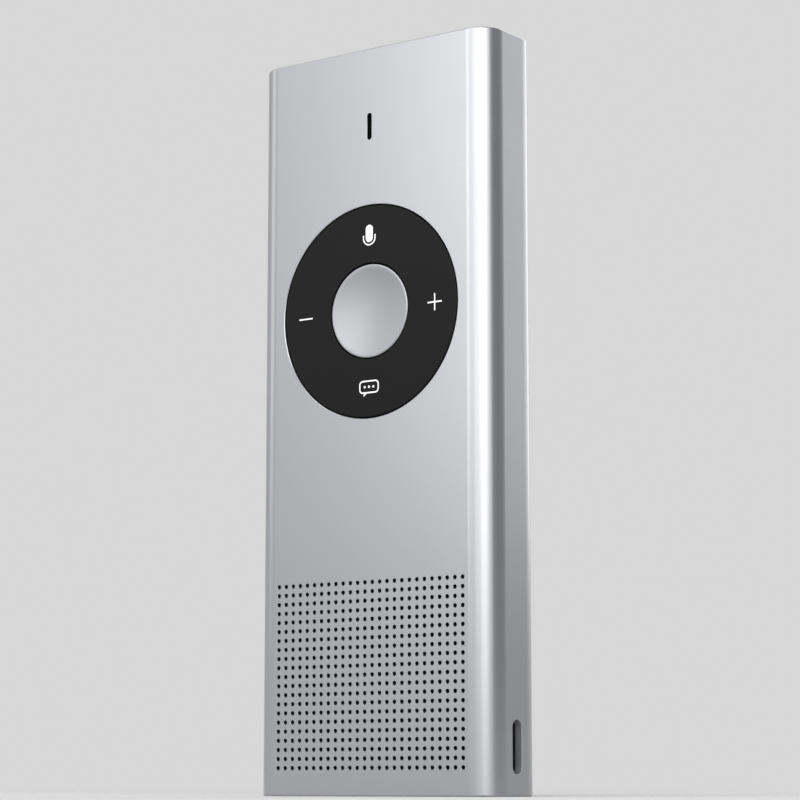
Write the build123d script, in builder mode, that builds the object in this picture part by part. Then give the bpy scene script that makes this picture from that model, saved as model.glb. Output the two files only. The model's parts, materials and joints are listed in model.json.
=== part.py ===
from build123d import *
from math import atan, cos, degrees, radians, sin
import os

# A handheld translator: an upright aluminium stick with a ring key, a dished centre button,
# a microphone slot, a speaker behind a grid of holes, and a charging port low on one side.
# X is the width, the front looks along -Y, and Z points up. The origin is the middle of the
# bottom face. All sizes are in millimetres. Layers are given as (front, back) pairs of Y.

# ---- casing ----
HEIGHT = 120.0
WIDTH = 46.5
DEPTH = 14.0
CORNER_RADIUS = 4.2
WALL = 1.2
END_CHAMFER = 0.25
RIM_CHAMFER = 0.15
FRONT = -DEPTH / 2
INNER_FRONT = FRONT + WALL
INNER_HALF_WIDTH = WIDTH / 2 - WALL
CAP_THICKNESS = 2.0
CAP_FIT = 0.05
CHASSIS_FIT = 0.10
CAP_SCREW_X = 10.0

# ---- speaker holes ----
HOLE_COLUMNS = 26
HOLE_ROWS = 21
HOLE_PITCH = 1.445
HOLE_RADIUS = 0.35
LOWEST_HOLE_Z = 4.4
HOLES_MIDDLE_Z = LOWEST_HOLE_Z + (HOLE_ROWS - 1) / 2 * HOLE_PITCH

# ---- microphone slot ----
SLOT_WIDTH = 0.92
SLOT_LENGTH = 4.4
SLOT_Z = 107.0

# ---- charging port, a USB-C receptacle of standard size ----
PORT_Z = 7.5
PORT_LENGTH = 8.3
PORT_WIDTH = 2.5
PORT_SHELL = (8.94, 3.16)
PORT_MOUTH = (8.34, 2.56)
PORT_SHELL_DEPTH = 7.3
PORT_TONGUE = (6.69, 0.7)
PORT_PADS = 12
PORT_PAD_PITCH = 0.5

# ---- ring key and centre button ----
KEY_Z = 76.7
KEY_OPENING_RADIUS = 17.35
RING_RADIUS = 17.15
RING_BORE_RADIUS = 7.8
RING_FLANGE_RADIUS = 18.3
RING_FACE = FRONT + 0.05
RING_FLANGE = (-5.35, -4.75)
SYMBOL_DEPTH = 0.3
SYMBOL_STROKE = 0.24
SIGN_LENGTH = 2.75
SIGN_X = 12.9
BUTTON_RADIUS = 7.6
BUTTON_BACK = -5.2
DISH_RADIUS = 7.25
DISH_DEPTH = 0.8
PLUNGER_RADIUS = 6.9
PLUNGER_FLANGE = (-4.3, -3.7)
PLUNGER_FLANGE_RADIUS = 8.7
NUB_RADIUS = 1.2
GUIDE_RADIUS = 0.6
GUIDE_CLEARANCE = 0.06
GUIDE_CIRCLE = 6.2
GUIDE_ANGLES = (30, 150, 270)

# ---- gimbal ring that lets the ring key rock both ways ----
TILT_AXIS_Y = -3.6
GIMBAL_THICKNESS = 0.8
GIMBAL_RADII = (9.5, 11.2)
TRUNNION_RADIUS = 0.35
TRUNNION_CLEARANCE = 0.03
TRUNNION_END = 13.2
LUG_REACH = (11.7, 12.9)
LUG_HALF_WIDTH = 1.5

# ---- key board, its snap domes and the frame that carries them ----
KEY_BOARD = (-2.3, -1.5)
KEY_BOARD_RADIUS = 17.8
KEY_FRAME = (-1.5, -0.9)
KEY_FRAME_HALF_HEIGHT = 19.2
DOME_CIRCLE = 15.0
RING_DOME = (1.8, 0.3)
CENTRE_DOME = (2.6, 0.4)
DOME_SHEET = 0.08
DOME_GAP = 0.05
KEY_SCREW_CIRCLE = 15.5
POST_X = 17.8
POST_SIZE = 2.0

# ---- boards, battery and speaker ----
SCREW_HEAD = (1.2, 0.6)
SCREW_SHANK = (0.7, 2.0)
SCREW_RECESS_RADIUS = 0.3
SCREW_CLEARANCE = 0.02
SCREW_PASSAGE = 0.1
MAIN_BOARD = (PORT_SHELL[1] / 2, PORT_SHELL[1] / 2 + 1.0)
MAIN_BOARD_Z = (3.0, 54.0)
MAIN_BOARD_HALF_WIDTH = 20.4
MAIN_BOARD_SCREWS = ((-17.5, 9.5), (-15.0, 51.8), (7.5, 51.0))
MIC_BOARD = (-3.5, -2.7)
MIC_BOARD_Z = (102.0, 115.2)
MIC_BOARD_HALF_WIDTH = 7.0
MIC_SCREW_X = 5.0
MIC_SCREW_Z = 113.4
CHASSIS_PLATE_Y = 5.0
CHASSIS_RAIL_FRONT = -0.9
CHASSIS_HOLLOW_HALF_WIDTH = 20.6
BATTERY = (0.4, 4.9)
BATTERY_HALF_WIDTH = 17.5
BATTERY_Z = (64.0, 110.0)
SPEAKER_Z = 24.0
SPEAKER_BOX = (-5.1, 1.3)
SPEAKER_BOX_SIZE = (39.0, 21.2)
SPEAKER_BOX_WALL = 0.8
BAFFLE = (-4.2, -3.4)
BASKET_TUB_SIZE = (26.0, 13.0)
BASKET_WALL = 0.7
CONE = (-4.9, -4.6)
CONE_SIZE = (20.6, 8.6)
COIL_SIZE = (14.4, 6.4)
COIL_BACK = -2.2
YOKE = (-2.0, -1.4)


def layer(y):
    """Return a drawing plane at depth y, with X to the right and Z up."""
    return Plane.XZ.offset(-y)


def thickness(y):
    """Return how thick a (front, back) pair of depths is."""
    return y[1] - y[0]


def block(x, y, z, mode=Mode.ADD):
    """Add or cut a box that fills the given (low, high) ranges."""
    ranges = (x, y, z)
    with Locations(tuple((low + high) / 2 for low, high in ranges)):
        Box(*(high - low for low, high in ranges), mode=mode)


def disc(radius, y, at, mode=Mode.ADD):
    """Add or cut a round bar along Y, centred on at = (x, z)."""
    with Locations((at[0], (y[0] + y[1]) / 2, at[1])):
        Cylinder(radius, thickness(y), rotation=(90, 0, 0), mode=mode)


def rounded_plate(size, radius, y, at, mode=Mode.ADD):
    """Add or cut a plate with rounded corners, centred on at = (x, z)."""
    with BuildSketch(layer(y[1])) as outline:
        with Locations(at):
            RectangleRounded(size[0], size[1], radius)
    extrude(outline.sketch, amount=thickness(y), dir=(0, -1, 0), mode=mode)


def on_circle(radius, angle):
    """Return the (x, z) point at an angle in degrees on a circle about the keys' centre."""
    return (radius * cos(radians(angle)), KEY_Z + radius * sin(radians(angle)))


def dome_shell(size, board_face, at):
    """Add a thin snap dome of size = (radius, height) that stands on a board's front face."""
    radius, height = size
    ball = (radius**2 + height**2) / (2 * height)
    with BuildPart(mode=Mode.PRIVATE) as dome:
        with Locations((at[0], board_face - height + ball, at[1])):
            Sphere(ball)
            Sphere(ball - DOME_SHEET, mode=Mode.SUBTRACT)
        disc(radius, (board_face - height, board_face), at, Mode.INTERSECT)
    add(dome.part)


def screw(face, at):
    """Add one small pan-head screw whose head stands on a face, driven towards +Y."""
    head_radius, head_height = SCREW_HEAD
    shank_radius, shank_length = SCREW_SHANK
    disc(head_radius, (face - head_height, face), at)
    disc(shank_radius, (face, face + shank_length), at)
    disc(SCREW_RECESS_RADIUS, (face - head_height, face - head_height / 2), at, Mode.SUBTRACT)


def ribbon(path, bend, sheet, width, x):
    """Return a flat cable: a path of (y, z) points with rounded bends, given thickness and width."""
    with BuildPart(mode=Mode.PRIVATE) as cable:
        with BuildSketch(Plane.YZ.offset(x - width / 2)):
            with BuildLine():
                FilletPolyline(*path, radius=bend)
            trace(line_width=sheet)
        extrude(amount=width)
    return cable.part


def wire(path, bend, radius):
    """Return a round wire that follows (x, y, z) points with rounded bends."""
    with BuildPart(mode=Mode.PRIVATE) as strand:
        with BuildLine() as route:
            FilletPolyline(*path, radius=bend)
        with BuildSketch(Plane(origin=route.line @ 0, z_dir=route.line % 0)):
            Circle(radius)
        sweep(path=route.line)
    return strand.part


def save(piece, name):
    """Name a finished piece and write it as parts/name.step."""
    piece.part.label = name
    export_step(piece.part, f"parts/{name}.step")


os.makedirs("parts", exist_ok=True)

# ================================ casing ================================

# The sleeve is one length of extruded tube, drilled and slotted.
with BuildPart() as body_sleeve:
    with BuildSketch():
        RectangleRounded(WIDTH, DEPTH, CORNER_RADIUS)
    extrude(amount=HEIGHT)
    chamfer(body_sleeve.faces().filter_by(Axis.Z).edges(), END_CHAMFER)
    with BuildSketch():
        RectangleRounded(WIDTH - 2 * WALL, DEPTH - 2 * WALL, CORNER_RADIUS - WALL)
    extrude(amount=HEIGHT, mode=Mode.SUBTRACT)
    disc(KEY_OPENING_RADIUS, (FRONT, INNER_FRONT), (0, KEY_Z), Mode.SUBTRACT)
    key_rims = body_sleeve.edges().filter_by(GeomType.CIRCLE)
    chamfer(key_rims.filter_by(lambda rim: rim.radius > 17).group_by(Axis.Y)[0], RIM_CHAMFER)
    with BuildSketch(layer(INNER_FRONT)):
        with Locations((0, SLOT_Z)):
            SlotOverall(SLOT_LENGTH, SLOT_WIDTH, rotation=90)
    extrude(amount=WALL, mode=Mode.SUBTRACT)
    with BuildSketch(Plane.YZ.offset(INNER_HALF_WIDTH)):
        with Locations((0, PORT_Z)):
            SlotOverall(PORT_LENGTH, PORT_WIDTH, rotation=90)
    extrude(amount=WALL, mode=Mode.SUBTRACT)
    with BuildSketch(layer(INNER_FRONT)):
        with Locations((0, HOLES_MIDDLE_Z)):
            with GridLocations(HOLE_PITCH, HOLE_PITCH, HOLE_COLUMNS, HOLE_ROWS):
                Circle(HOLE_RADIUS)
    extrude(amount=WALL, mode=Mode.SUBTRACT)
save(body_sleeve, "body_sleeve")

cap_width = WIDTH - 2 * WALL - 2 * CAP_FIT
cap_depth = DEPTH - 2 * WALL - 2 * CAP_FIT
cap_radius = CORNER_RADIUS - WALL - CAP_FIT
cap_screw_length = 5.0
cap_head_radius = 1.3
cap_head_height = 0.8
cap_recess = (0.35, 0.4)
cap_head_drop = 0.1
cap_sink_angle = 2 * degrees(atan((cap_head_radius - SCREW_SHANK[0]) / cap_head_height))

with BuildPart() as bottom_cap:
    with BuildSketch():
        RectangleRounded(cap_width, cap_depth, cap_radius)
    extrude(amount=CAP_THICKNESS)
    with Locations(Plane.XY.rotated((180, 0, 0))):
        with Locations((CAP_SCREW_X, 0), (-CAP_SCREW_X, 0)):
            CounterSinkHole(
                SCREW_SHANK[0] + SCREW_PASSAGE, cap_head_radius + SCREW_PASSAGE, CAP_THICKNESS,
                cap_sink_angle,
            )
save(bottom_cap, "bottom_cap")

with BuildPart() as cap_screws:
    for side in (-1, 1):
        with Locations((side * CAP_SCREW_X, 0, cap_head_drop)):
            Cone(
                cap_head_radius, SCREW_SHANK[0], cap_head_height,
                align=(Align.CENTER, Align.CENTER, Align.MIN),
            )
            Cylinder(
                SCREW_SHANK[0], cap_screw_length,
                align=(Align.CENTER, Align.CENTER, Align.MIN),
            )
            Cylinder(
                *cap_recess, align=(Align.CENTER, Align.CENTER, Align.MIN), mode=Mode.SUBTRACT,
            )
save(cap_screws, "cap_screws")

# The top cap is plastic, so that the aerial under it can work, and snaps into the chassis.
top_wall_z = (116.0, 117.6)
clip_x = (14.5, 17.5)
clip_foot = top_wall_z[0] - 1.0
clip_stem_y = (-0.4, 0.4)
clip_hook_y = (0.4, 0.9)
with BuildPart() as top_cap:
    with BuildSketch(Plane.XY.offset(HEIGHT - CAP_THICKNESS)):
        RectangleRounded(cap_width, cap_depth, cap_radius)
    extrude(amount=CAP_THICKNESS)
    for side in (-1, 1):
        clip_range = sorted((side * clip_x[0], side * clip_x[1]))
        block(clip_range, clip_stem_y, (clip_foot, HEIGHT - CAP_THICKNESS))
        block(clip_range, clip_hook_y, (clip_foot, top_wall_z[0] - 0.1))
save(top_cap, "top_cap")

# The chassis is a moulded channel that slides into the sleeve and carries everything inside.
chassis_z = (CAP_THICKNESS + 0.1, HEIGHT - CAP_THICKNESS - 0.1)
hollow_x = (-CHASSIS_HOLLOW_HALF_WIDTH, CHASSIS_HOLLOW_HALF_WIDTH)
boss_half = 1.9
boss_top = 8.0
stop_x = (-8, 8)
stop_y = (3.0, CHASSIS_PLATE_Y)
stop_thickness = 0.8
mic_post_z = (112.0, 114.8)
with BuildPart() as inner_chassis:
    with BuildSketch(Plane.XY.offset(chassis_z[0])):
        fit = WALL + CHASSIS_FIT
        RectangleRounded(WIDTH - 2 * fit, DEPTH - 2 * fit, CORNER_RADIUS - fit)
    extrude(amount=chassis_z[1] - chassis_z[0])
    block(hollow_x, (FRONT, CHASSIS_PLATE_Y), chassis_z, Mode.SUBTRACT)
    block((-WIDTH, WIDTH), (FRONT, CHASSIS_RAIL_FRONT), chassis_z, Mode.SUBTRACT)
    block(hollow_x, (CHASSIS_RAIL_FRONT, CHASSIS_PLATE_Y), (chassis_z[0], MAIN_BOARD_Z[0] - 0.1))
    block(hollow_x, (CHASSIS_RAIL_FRONT, CHASSIS_PLATE_Y), top_wall_z)
    block(stop_x, (MIC_BOARD[1], CHASSIS_PLATE_Y), mic_post_z)
    for side in (-1, 1):
        boss_x = (side * CAP_SCREW_X - boss_half, side * CAP_SCREW_X + boss_half)
        block(boss_x, (-boss_half, CHASSIS_PLATE_Y), (chassis_z[0], boss_top))
        with Locations((side * CAP_SCREW_X, 0, chassis_z[0])):
            Cylinder(
                SCREW_SHANK[0] + SCREW_CLEARANCE, 4.0,
                align=(Align.CENTER, Align.CENTER, Align.MIN), mode=Mode.SUBTRACT,
            )
        clip_hole = sorted((side * (clip_x[0] - 0.2), side * (clip_x[1] + 0.2)))
        block(clip_hole, (-0.6, 1.1), top_wall_z, Mode.SUBTRACT)
        disc(
            SCREW_SHANK[0] + SCREW_CLEARANCE, (MIC_BOARD[1], MIC_BOARD[1] + 2.5),
            (side * MIC_SCREW_X, MIC_SCREW_Z), Mode.SUBTRACT,
        )
    for at in MAIN_BOARD_SCREWS:
        disc(1.6, (MAIN_BOARD[1], CHASSIS_PLATE_Y), at)
        disc(SCREW_SHANK[0] + SCREW_CLEARANCE, (MAIN_BOARD[1], 4.2), at, Mode.SUBTRACT)
    for stop_z in (BATTERY_Z[0] - 4.0, BATTERY_Z[1] + 0.2):
        block(stop_x, stop_y, (stop_z, stop_z + stop_thickness))
    port_z = (PORT_Z - PORT_SHELL[0] / 2 - 0.3, PORT_Z + PORT_SHELL[0] / 2 + 0.3)
    block((CHASSIS_HOLLOW_HALF_WIDTH, WIDTH), (-2.0, MAIN_BOARD[1] + 0.1), port_z, Mode.SUBTRACT)
    cable_hole = (-19.6, 3.0)
    with Locations((cable_hole[0], cable_hole[1], top_wall_z[0])):
        Cylinder(
            0.6, top_wall_z[1] - top_wall_z[0],
            align=(Align.CENTER, Align.CENTER, Align.MIN), mode=Mode.SUBTRACT,
        )
save(inner_chassis, "inner_chassis")

# ================================ ring key ================================


def microphone_outline(y):
    """Draw the microphone symbol on the layer at depth y: a capsule in an open cradle."""
    capsule_width = 1.45
    capsule_height = 2.85
    capsule_bottom = KEY_Z + 11.2
    bend_z = capsule_bottom + capsule_width / 2
    cradle_radius = 1.28
    cradle_top = KEY_Z + 12.38
    with BuildSketch(layer(y)) as symbol:
        with Locations((0, bend_z)):
            Circle(cradle_radius)
        with Locations((0, (bend_z + cradle_top) / 2)):
            Rectangle(2 * cradle_radius, cradle_top - bend_z)
        with Locations((0, bend_z)):
            Circle(cradle_radius - SYMBOL_STROKE, mode=Mode.SUBTRACT)
        with Locations((0, bend_z + 2)):
            Rectangle(2 * (cradle_radius - SYMBOL_STROKE), 4, mode=Mode.SUBTRACT)
        with Locations((0, cradle_top + 2)):
            Rectangle(2 * cradle_radius, 4, mode=Mode.SUBTRACT)
        with Locations((0, capsule_bottom + capsule_height / 2)):
            SlotOverall(capsule_height, capsule_width, rotation=90)
    return symbol.sketch


def minus_outline(y):
    """Draw the minus sign on the layer at depth y."""
    with BuildSketch(layer(y)) as symbol:
        with Locations((-SIGN_X, KEY_Z)):
            Rectangle(SIGN_LENGTH, SYMBOL_STROKE)
    return symbol.sketch


def plus_outline(y):
    """Draw the plus sign on the layer at depth y."""
    with BuildSketch(layer(y)) as symbol:
        with Locations((SIGN_X, KEY_Z)):
            Rectangle(SIGN_LENGTH, SYMBOL_STROKE)
            Rectangle(SYMBOL_STROKE, SIGN_LENGTH)
    return symbol.sketch


def speech_outline(y):
    """Draw a speech bubble with three dots on the layer at depth y."""
    width = 3.9
    height = 2.1
    bend = 0.7
    centre_z = KEY_Z - 12.3
    tail = ((-1.0, -0.9), (-0.2, -0.9), (-1.1, -1.55))
    with BuildSketch(layer(y)) as symbol:
        with Locations((0, centre_z)):
            RectangleRounded(width, height, bend)
            Polygon(*tail, align=None)
            RectangleRounded(
                width - 2 * SYMBOL_STROKE, height - 2 * SYMBOL_STROKE, bend - SYMBOL_STROKE,
                mode=Mode.SUBTRACT,
            )
            with GridLocations(0.85, 0, 3, 1):
                Circle(0.2)
    return symbol.sketch


SYMBOLS = {
    "microphone_symbol": microphone_outline,
    "minus_symbol": minus_outline,
    "plus_symbol": plus_outline,
    "speech_symbol": speech_outline,
}

symbol_back = RING_FACE + SYMBOL_DEPTH
lug_y = (RING_FLANGE[1], TILT_AXIS_Y + 0.8)
with BuildPart() as ring_key:
    disc(RING_RADIUS, (RING_FACE, RING_FLANGE[0]), (0, KEY_Z))
    front_rim = ring_key.edges().filter_by(GeomType.CIRCLE).group_by(Axis.Y)[0]
    chamfer(front_rim, RIM_CHAMFER)
    disc(RING_FLANGE_RADIUS, RING_FLANGE, (0, KEY_Z))
    disc(RING_BORE_RADIUS, (FRONT, RING_FLANGE[1]), (0, KEY_Z), Mode.SUBTRACT)
    for draw in SYMBOLS.values():
        extrude(draw(symbol_back), amount=SYMBOL_DEPTH, dir=(0, -1, 0), mode=Mode.SUBTRACT)
    for side in (-1, 1):
        lug_z = sorted((KEY_Z + side * LUG_REACH[0], KEY_Z + side * LUG_REACH[1]))
        block((-LUG_HALF_WIDTH, LUG_HALF_WIDTH), lug_y, lug_z)
        with Locations((0, TILT_AXIS_Y, (lug_z[0] + lug_z[1]) / 2)):
            Cylinder(TRUNNION_RADIUS + TRUNNION_CLEARANCE, 3.0, mode=Mode.SUBTRACT)
save(ring_key, "ring_key")

for symbol_name, draw in SYMBOLS.items():
    with BuildPart() as symbol_inlay:
        extrude(draw(symbol_back), amount=SYMBOL_DEPTH, dir=(0, -1, 0))
    save(symbol_inlay, symbol_name)

dome_angles = (0, 90, 180, 270)
ring_dome_top = KEY_BOARD[0] - RING_DOME[1]
foot_radius = 0.9
with BuildPart() as ring_feet:
    for angle in dome_angles:
        disc(foot_radius, (RING_FLANGE[1], ring_dome_top - DOME_GAP), on_circle(DOME_CIRCLE, angle))
save(ring_feet, "ring_feet")

gimbal_y = (TILT_AXIS_Y - GIMBAL_THICKNESS / 2, TILT_AXIS_Y + GIMBAL_THICKNESS / 2)
with BuildPart() as gimbal_ring:
    disc(GIMBAL_RADII[1], gimbal_y, (0, KEY_Z))
    disc(GIMBAL_RADII[0], gimbal_y, (0, KEY_Z), Mode.SUBTRACT)
    trunnion_start = GIMBAL_RADII[1] - 0.3
    trunnion_length = TRUNNION_END - trunnion_start
    for side in (-1, 1):
        middle = side * (trunnion_start + TRUNNION_END) / 2
        with Locations((middle, TILT_AXIS_Y, KEY_Z)):
            Cylinder(TRUNNION_RADIUS, trunnion_length, rotation=(0, 90, 0))
        with Locations((0, TILT_AXIS_Y, KEY_Z + middle)):
            Cylinder(TRUNNION_RADIUS, trunnion_length)
save(gimbal_ring, "gimbal_ring")

# ================================ centre button ================================

# The cap's front is a shallow dish, cut by a ball whose size follows from the dish.
dish_ball = (DISH_RADIUS**2 + DISH_DEPTH**2) / (2 * DISH_DEPTH)
with BuildPart() as button_cap:
    disc(BUTTON_RADIUS, (RING_FACE, BUTTON_BACK), (0, KEY_Z))
    with Locations((0, RING_FACE + DISH_DEPTH - dish_ball, KEY_Z)):
        Sphere(dish_ball, mode=Mode.SUBTRACT)
save(button_cap, "button_cap")

centre_dome_top = KEY_BOARD[0] - CENTRE_DOME[1]
with BuildPart() as button_plunger:
    disc(PLUNGER_RADIUS, (BUTTON_BACK, PLUNGER_FLANGE[1]), (0, KEY_Z))
    disc(PLUNGER_FLANGE_RADIUS, PLUNGER_FLANGE, (0, KEY_Z))
    disc(NUB_RADIUS, (PLUNGER_FLANGE[1], centre_dome_top - DOME_GAP), (0, KEY_Z))
    for angle in GUIDE_ANGLES:
        disc(GUIDE_RADIUS, (PLUNGER_FLANGE[1], KEY_FRAME[1] + 0.4), on_circle(GUIDE_CIRCLE, angle))
save(button_plunger, "button_plunger")

# ================================ key board ================================

screw_angles = (45, 135, 225, 315)
guide_hole = GUIDE_RADIUS + GUIDE_CLEARANCE
lug_gap = 0.2
lug_window = (LUG_REACH[0] - lug_gap, LUG_REACH[1] + lug_gap)
tab_x = (-5, 5)
tab_z = (KEY_Z - 19.6, KEY_Z - 15)
with BuildPart() as key_board:
    disc(KEY_BOARD_RADIUS, KEY_BOARD, (0, KEY_Z))
    block(tab_x, KEY_BOARD, tab_z)
    for angle in GUIDE_ANGLES:
        disc(guide_hole, KEY_BOARD, on_circle(GUIDE_CIRCLE, angle), Mode.SUBTRACT)
    for angle in screw_angles:
        disc(SCREW_SHANK[0] + SCREW_PASSAGE, KEY_BOARD, on_circle(KEY_SCREW_CIRCLE, angle), Mode.SUBTRACT)
    for side in (-1, 1):
        window_x = sorted((side * lug_window[0], side * lug_window[1]))
        window_z = (KEY_Z - LUG_HALF_WIDTH - lug_gap, KEY_Z + LUG_HALF_WIDTH + lug_gap)
        block(window_x, KEY_BOARD, window_z, Mode.SUBTRACT)
save(key_board, "key_board")

with BuildPart() as ring_domes:
    for angle in dome_angles:
        dome_shell(RING_DOME, KEY_BOARD[0], on_circle(DOME_CIRCLE, angle))
save(ring_domes, "ring_domes")

with BuildPart() as centre_dome:
    dome_shell(CENTRE_DOME, KEY_BOARD[0], (0, KEY_Z))
save(centre_dome, "centre_dome")

with BuildPart() as key_frame:
    frame_z = (KEY_Z - KEY_FRAME_HALF_HEIGHT, KEY_Z + KEY_FRAME_HALF_HEIGHT)
    block((-21.8, 21.8), KEY_FRAME, frame_z)
    for angle in GUIDE_ANGLES:
        disc(guide_hole, KEY_FRAME, on_circle(GUIDE_CIRCLE, angle), Mode.SUBTRACT)
    for angle in screw_angles:
        at = on_circle(KEY_SCREW_CIRCLE, angle)
        disc(SCREW_SHANK[0] + SCREW_CLEARANCE, KEY_FRAME, at, Mode.SUBTRACT)
    for side in (-1, 1):
        lug_x = sorted((side * LUG_REACH[0], side * LUG_REACH[1]))
        lug_height = (KEY_Z - LUG_HALF_WIDTH, KEY_Z + LUG_HALF_WIDTH)
        block(lug_x, (TILT_AXIS_Y - 0.8, KEY_FRAME[0]), lug_height)
        with Locations(((lug_x[0] + lug_x[1]) / 2, TILT_AXIS_Y, KEY_Z)):
            Cylinder(
                TRUNNION_RADIUS + TRUNNION_CLEARANCE, 3.0, rotation=(0, 90, 0), mode=Mode.SUBTRACT,
            )
        for end in (-1, 1):
            post_z = KEY_Z + end * (KEY_FRAME_HALF_HEIGHT - 1.2)
            block(
                (side * POST_X - POST_SIZE / 2, side * POST_X + POST_SIZE / 2),
                (INNER_FRONT, KEY_FRAME[0]),
                (post_z - POST_SIZE / 2, post_z + POST_SIZE / 2),
            )
save(key_frame, "key_frame")

# ================================ microphone ================================

with BuildPart() as mic_mesh:
    rounded_plate((3.0, 6.4), 1.2, (INNER_FRONT, INNER_FRONT + 0.1), (0, SLOT_Z))
save(mic_mesh, "mic_mesh")

with BuildPart() as mic_boot:
    rounded_plate((4.4, 7.6), 1.5, (INNER_FRONT + 0.1, MIC_BOARD[0]), (0, SLOT_Z))
    channel = (INNER_FRONT + 0.1, MIC_BOARD[0])
    with BuildSketch(layer(channel[1])):
        with Locations((0, SLOT_Z)):
            SlotOverall(SLOT_LENGTH, SLOT_WIDTH, rotation=90)
    extrude(amount=thickness(channel), mode=Mode.SUBTRACT)
save(mic_boot, "mic_boot")

with BuildPart() as mic_board:
    block((-MIC_BOARD_HALF_WIDTH, MIC_BOARD_HALF_WIDTH), MIC_BOARD, MIC_BOARD_Z)
    disc(0.4, MIC_BOARD, (0, SLOT_Z), Mode.SUBTRACT)
    for side in (-1, 1):
        at = (side * MIC_SCREW_X, MIC_SCREW_Z)
        disc(SCREW_SHANK[0] + SCREW_PASSAGE, MIC_BOARD, at, Mode.SUBTRACT)
save(mic_board, "mic_board")

with BuildPart() as mic_capsule:
    block((-1.5, 1.5), (MIC_BOARD[1], MIC_BOARD[1] + 1.1), (SLOT_Z - 2.0, SLOT_Z + 2.0))
    fillet(mic_capsule.edges().filter_by(Axis.Y), 0.3)
save(mic_capsule, "mic_capsule")

# ================================ main board ================================

with BuildPart() as main_board:
    block((-MAIN_BOARD_HALF_WIDTH, MAIN_BOARD_HALF_WIDTH), MAIN_BOARD, MAIN_BOARD_Z)
    block((MAIN_BOARD_HALF_WIDTH, 21.9), MAIN_BOARD, (MAIN_BOARD_Z[0], 11.6))
    for side in (-1, 1):
        notch_x = (side * CAP_SCREW_X - boss_half - 0.2, side * CAP_SCREW_X + boss_half + 0.2)
        block(notch_x, MAIN_BOARD, (MAIN_BOARD_Z[0], 8.3), Mode.SUBTRACT)
    for at in MAIN_BOARD_SCREWS:
        disc(SCREW_SHANK[0] + SCREW_PASSAGE, MAIN_BOARD, at, Mode.SUBTRACT)
save(main_board, "main_board")

with BuildPart() as board_screws:
    for at in MAIN_BOARD_SCREWS:
        screw(MAIN_BOARD[0], at)
    for side in (-1, 1):
        screw(MIC_BOARD[0], (side * MIC_SCREW_X, MIC_SCREW_Z))
    for angle in screw_angles:
        screw(KEY_BOARD[0], on_circle(KEY_SCREW_CIRCLE, angle))
save(board_screws, "board_screws")

port_front_x = INNER_HALF_WIDTH - 0.1
port_back_x = port_front_x - PORT_SHELL_DEPTH
tongue_root = 1.4
pad_height = 0.04
pad_half_width = 0.14
with BuildPart() as usb_shell:
    with BuildSketch(Plane.YZ.offset(port_back_x)):
        with Locations((0, PORT_Z)):
            SlotOverall(PORT_SHELL[0], PORT_SHELL[1], rotation=90)
            SlotOverall(PORT_MOUTH[0], PORT_MOUTH[1], rotation=90, mode=Mode.SUBTRACT)
    extrude(amount=PORT_SHELL_DEPTH)
save(usb_shell, "usb_shell")

with BuildPart() as usb_tongue:
    with BuildSketch(Plane.YZ.offset(port_back_x)):
        with Locations((0, PORT_Z)):
            SlotOverall(PORT_MOUTH[0], PORT_MOUTH[1], rotation=90)
    extrude(amount=tongue_root)
    tongue_z = (PORT_Z - PORT_TONGUE[0] / 2, PORT_Z + PORT_TONGUE[0] / 2)
    tongue_x = (port_back_x + tongue_root, port_front_x - 0.9)
    block(tongue_x, (-PORT_TONGUE[1] / 2, PORT_TONGUE[1] / 2), tongue_z)
save(usb_tongue, "usb_tongue")

with BuildPart() as usb_contacts:
    pad_x = (tongue_x[0], tongue_x[1] - 0.6)
    for face in (-1, 1):
        pad_y = sorted((face * PORT_TONGUE[1] / 2, face * (PORT_TONGUE[1] / 2 + pad_height)))
        for pad in range(PORT_PADS):
            pad_z = PORT_Z + (pad - (PORT_PADS - 1) / 2) * PORT_PAD_PITCH
            block(pad_x, pad_y, (pad_z - pad_half_width, pad_z + pad_half_width))
save(usb_contacts, "usb_contacts")


def component(size, at, height=1.0):
    """Add a square-cornered component that stands on the main board's front face."""
    block(
        (at[0] - size[0] / 2, at[0] + size[0] / 2),
        (MAIN_BOARD[0] - height, MAIN_BOARD[0]),
        (at[1] - size[1] / 2, at[1] + size[1] / 2),
    )


def shield_can(size, at, height):
    """Add a folded-sheet can with an open back that stands on the main board."""
    sheet = 0.2
    component(size, at, height)
    block(
        (at[0] - size[0] / 2 + sheet, at[0] + size[0] / 2 - sheet),
        (MAIN_BOARD[0] - height + sheet, MAIN_BOARD[0]),
        (at[1] - size[1] / 2 + sheet, at[1] + size[1] / 2 - sheet),
        Mode.SUBTRACT,
    )


processor_at = (11.5, 41.0)
radio_at = (-10.5, 44.0)
with BuildPart() as processor_shield:
    shield_can((14.0, 12.0), processor_at, 1.6)
save(processor_shield, "processor_shield")

with BuildPart() as processor_chip:
    component((8.0, 8.0), (processor_at[0] - 2.6, processor_at[1]))
save(processor_chip, "processor_chip")

with BuildPart() as memory_chip:
    component((4.0, 7.0), (processor_at[0] + 4.4, processor_at[1]), 0.8)
save(memory_chip, "memory_chip")

with BuildPart() as radio_shield:
    shield_can((11.0, 11.0), radio_at, 1.6)
save(radio_shield, "radio_shield")

with BuildPart() as radio_chip:
    component((6.0, 6.0), radio_at, 0.9)
save(radio_chip, "radio_chip")

with BuildPart() as charger_chip:
    component((4.0, 4.0), (3.0, 8.5), 0.9)
save(charger_chip, "charger_chip")

with BuildPart() as board_capacitors:
    for column in range(6):
        component((0.8, 1.6), (-6.0 + column * 1.6, 11.4), 0.8)
    for row in range(4):
        component((1.6, 0.8), (-0.6, 39.0 + row * 1.5), 0.8)
save(board_capacitors, "board_capacitors")

with BuildPart() as charge_inductor:
    rounded_plate((3.0, 3.0), 0.6, (MAIN_BOARD[0] - 1.2, MAIN_BOARD[0]), (-4.0, 6.5))
save(charge_inductor, "charge_inductor")

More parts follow.
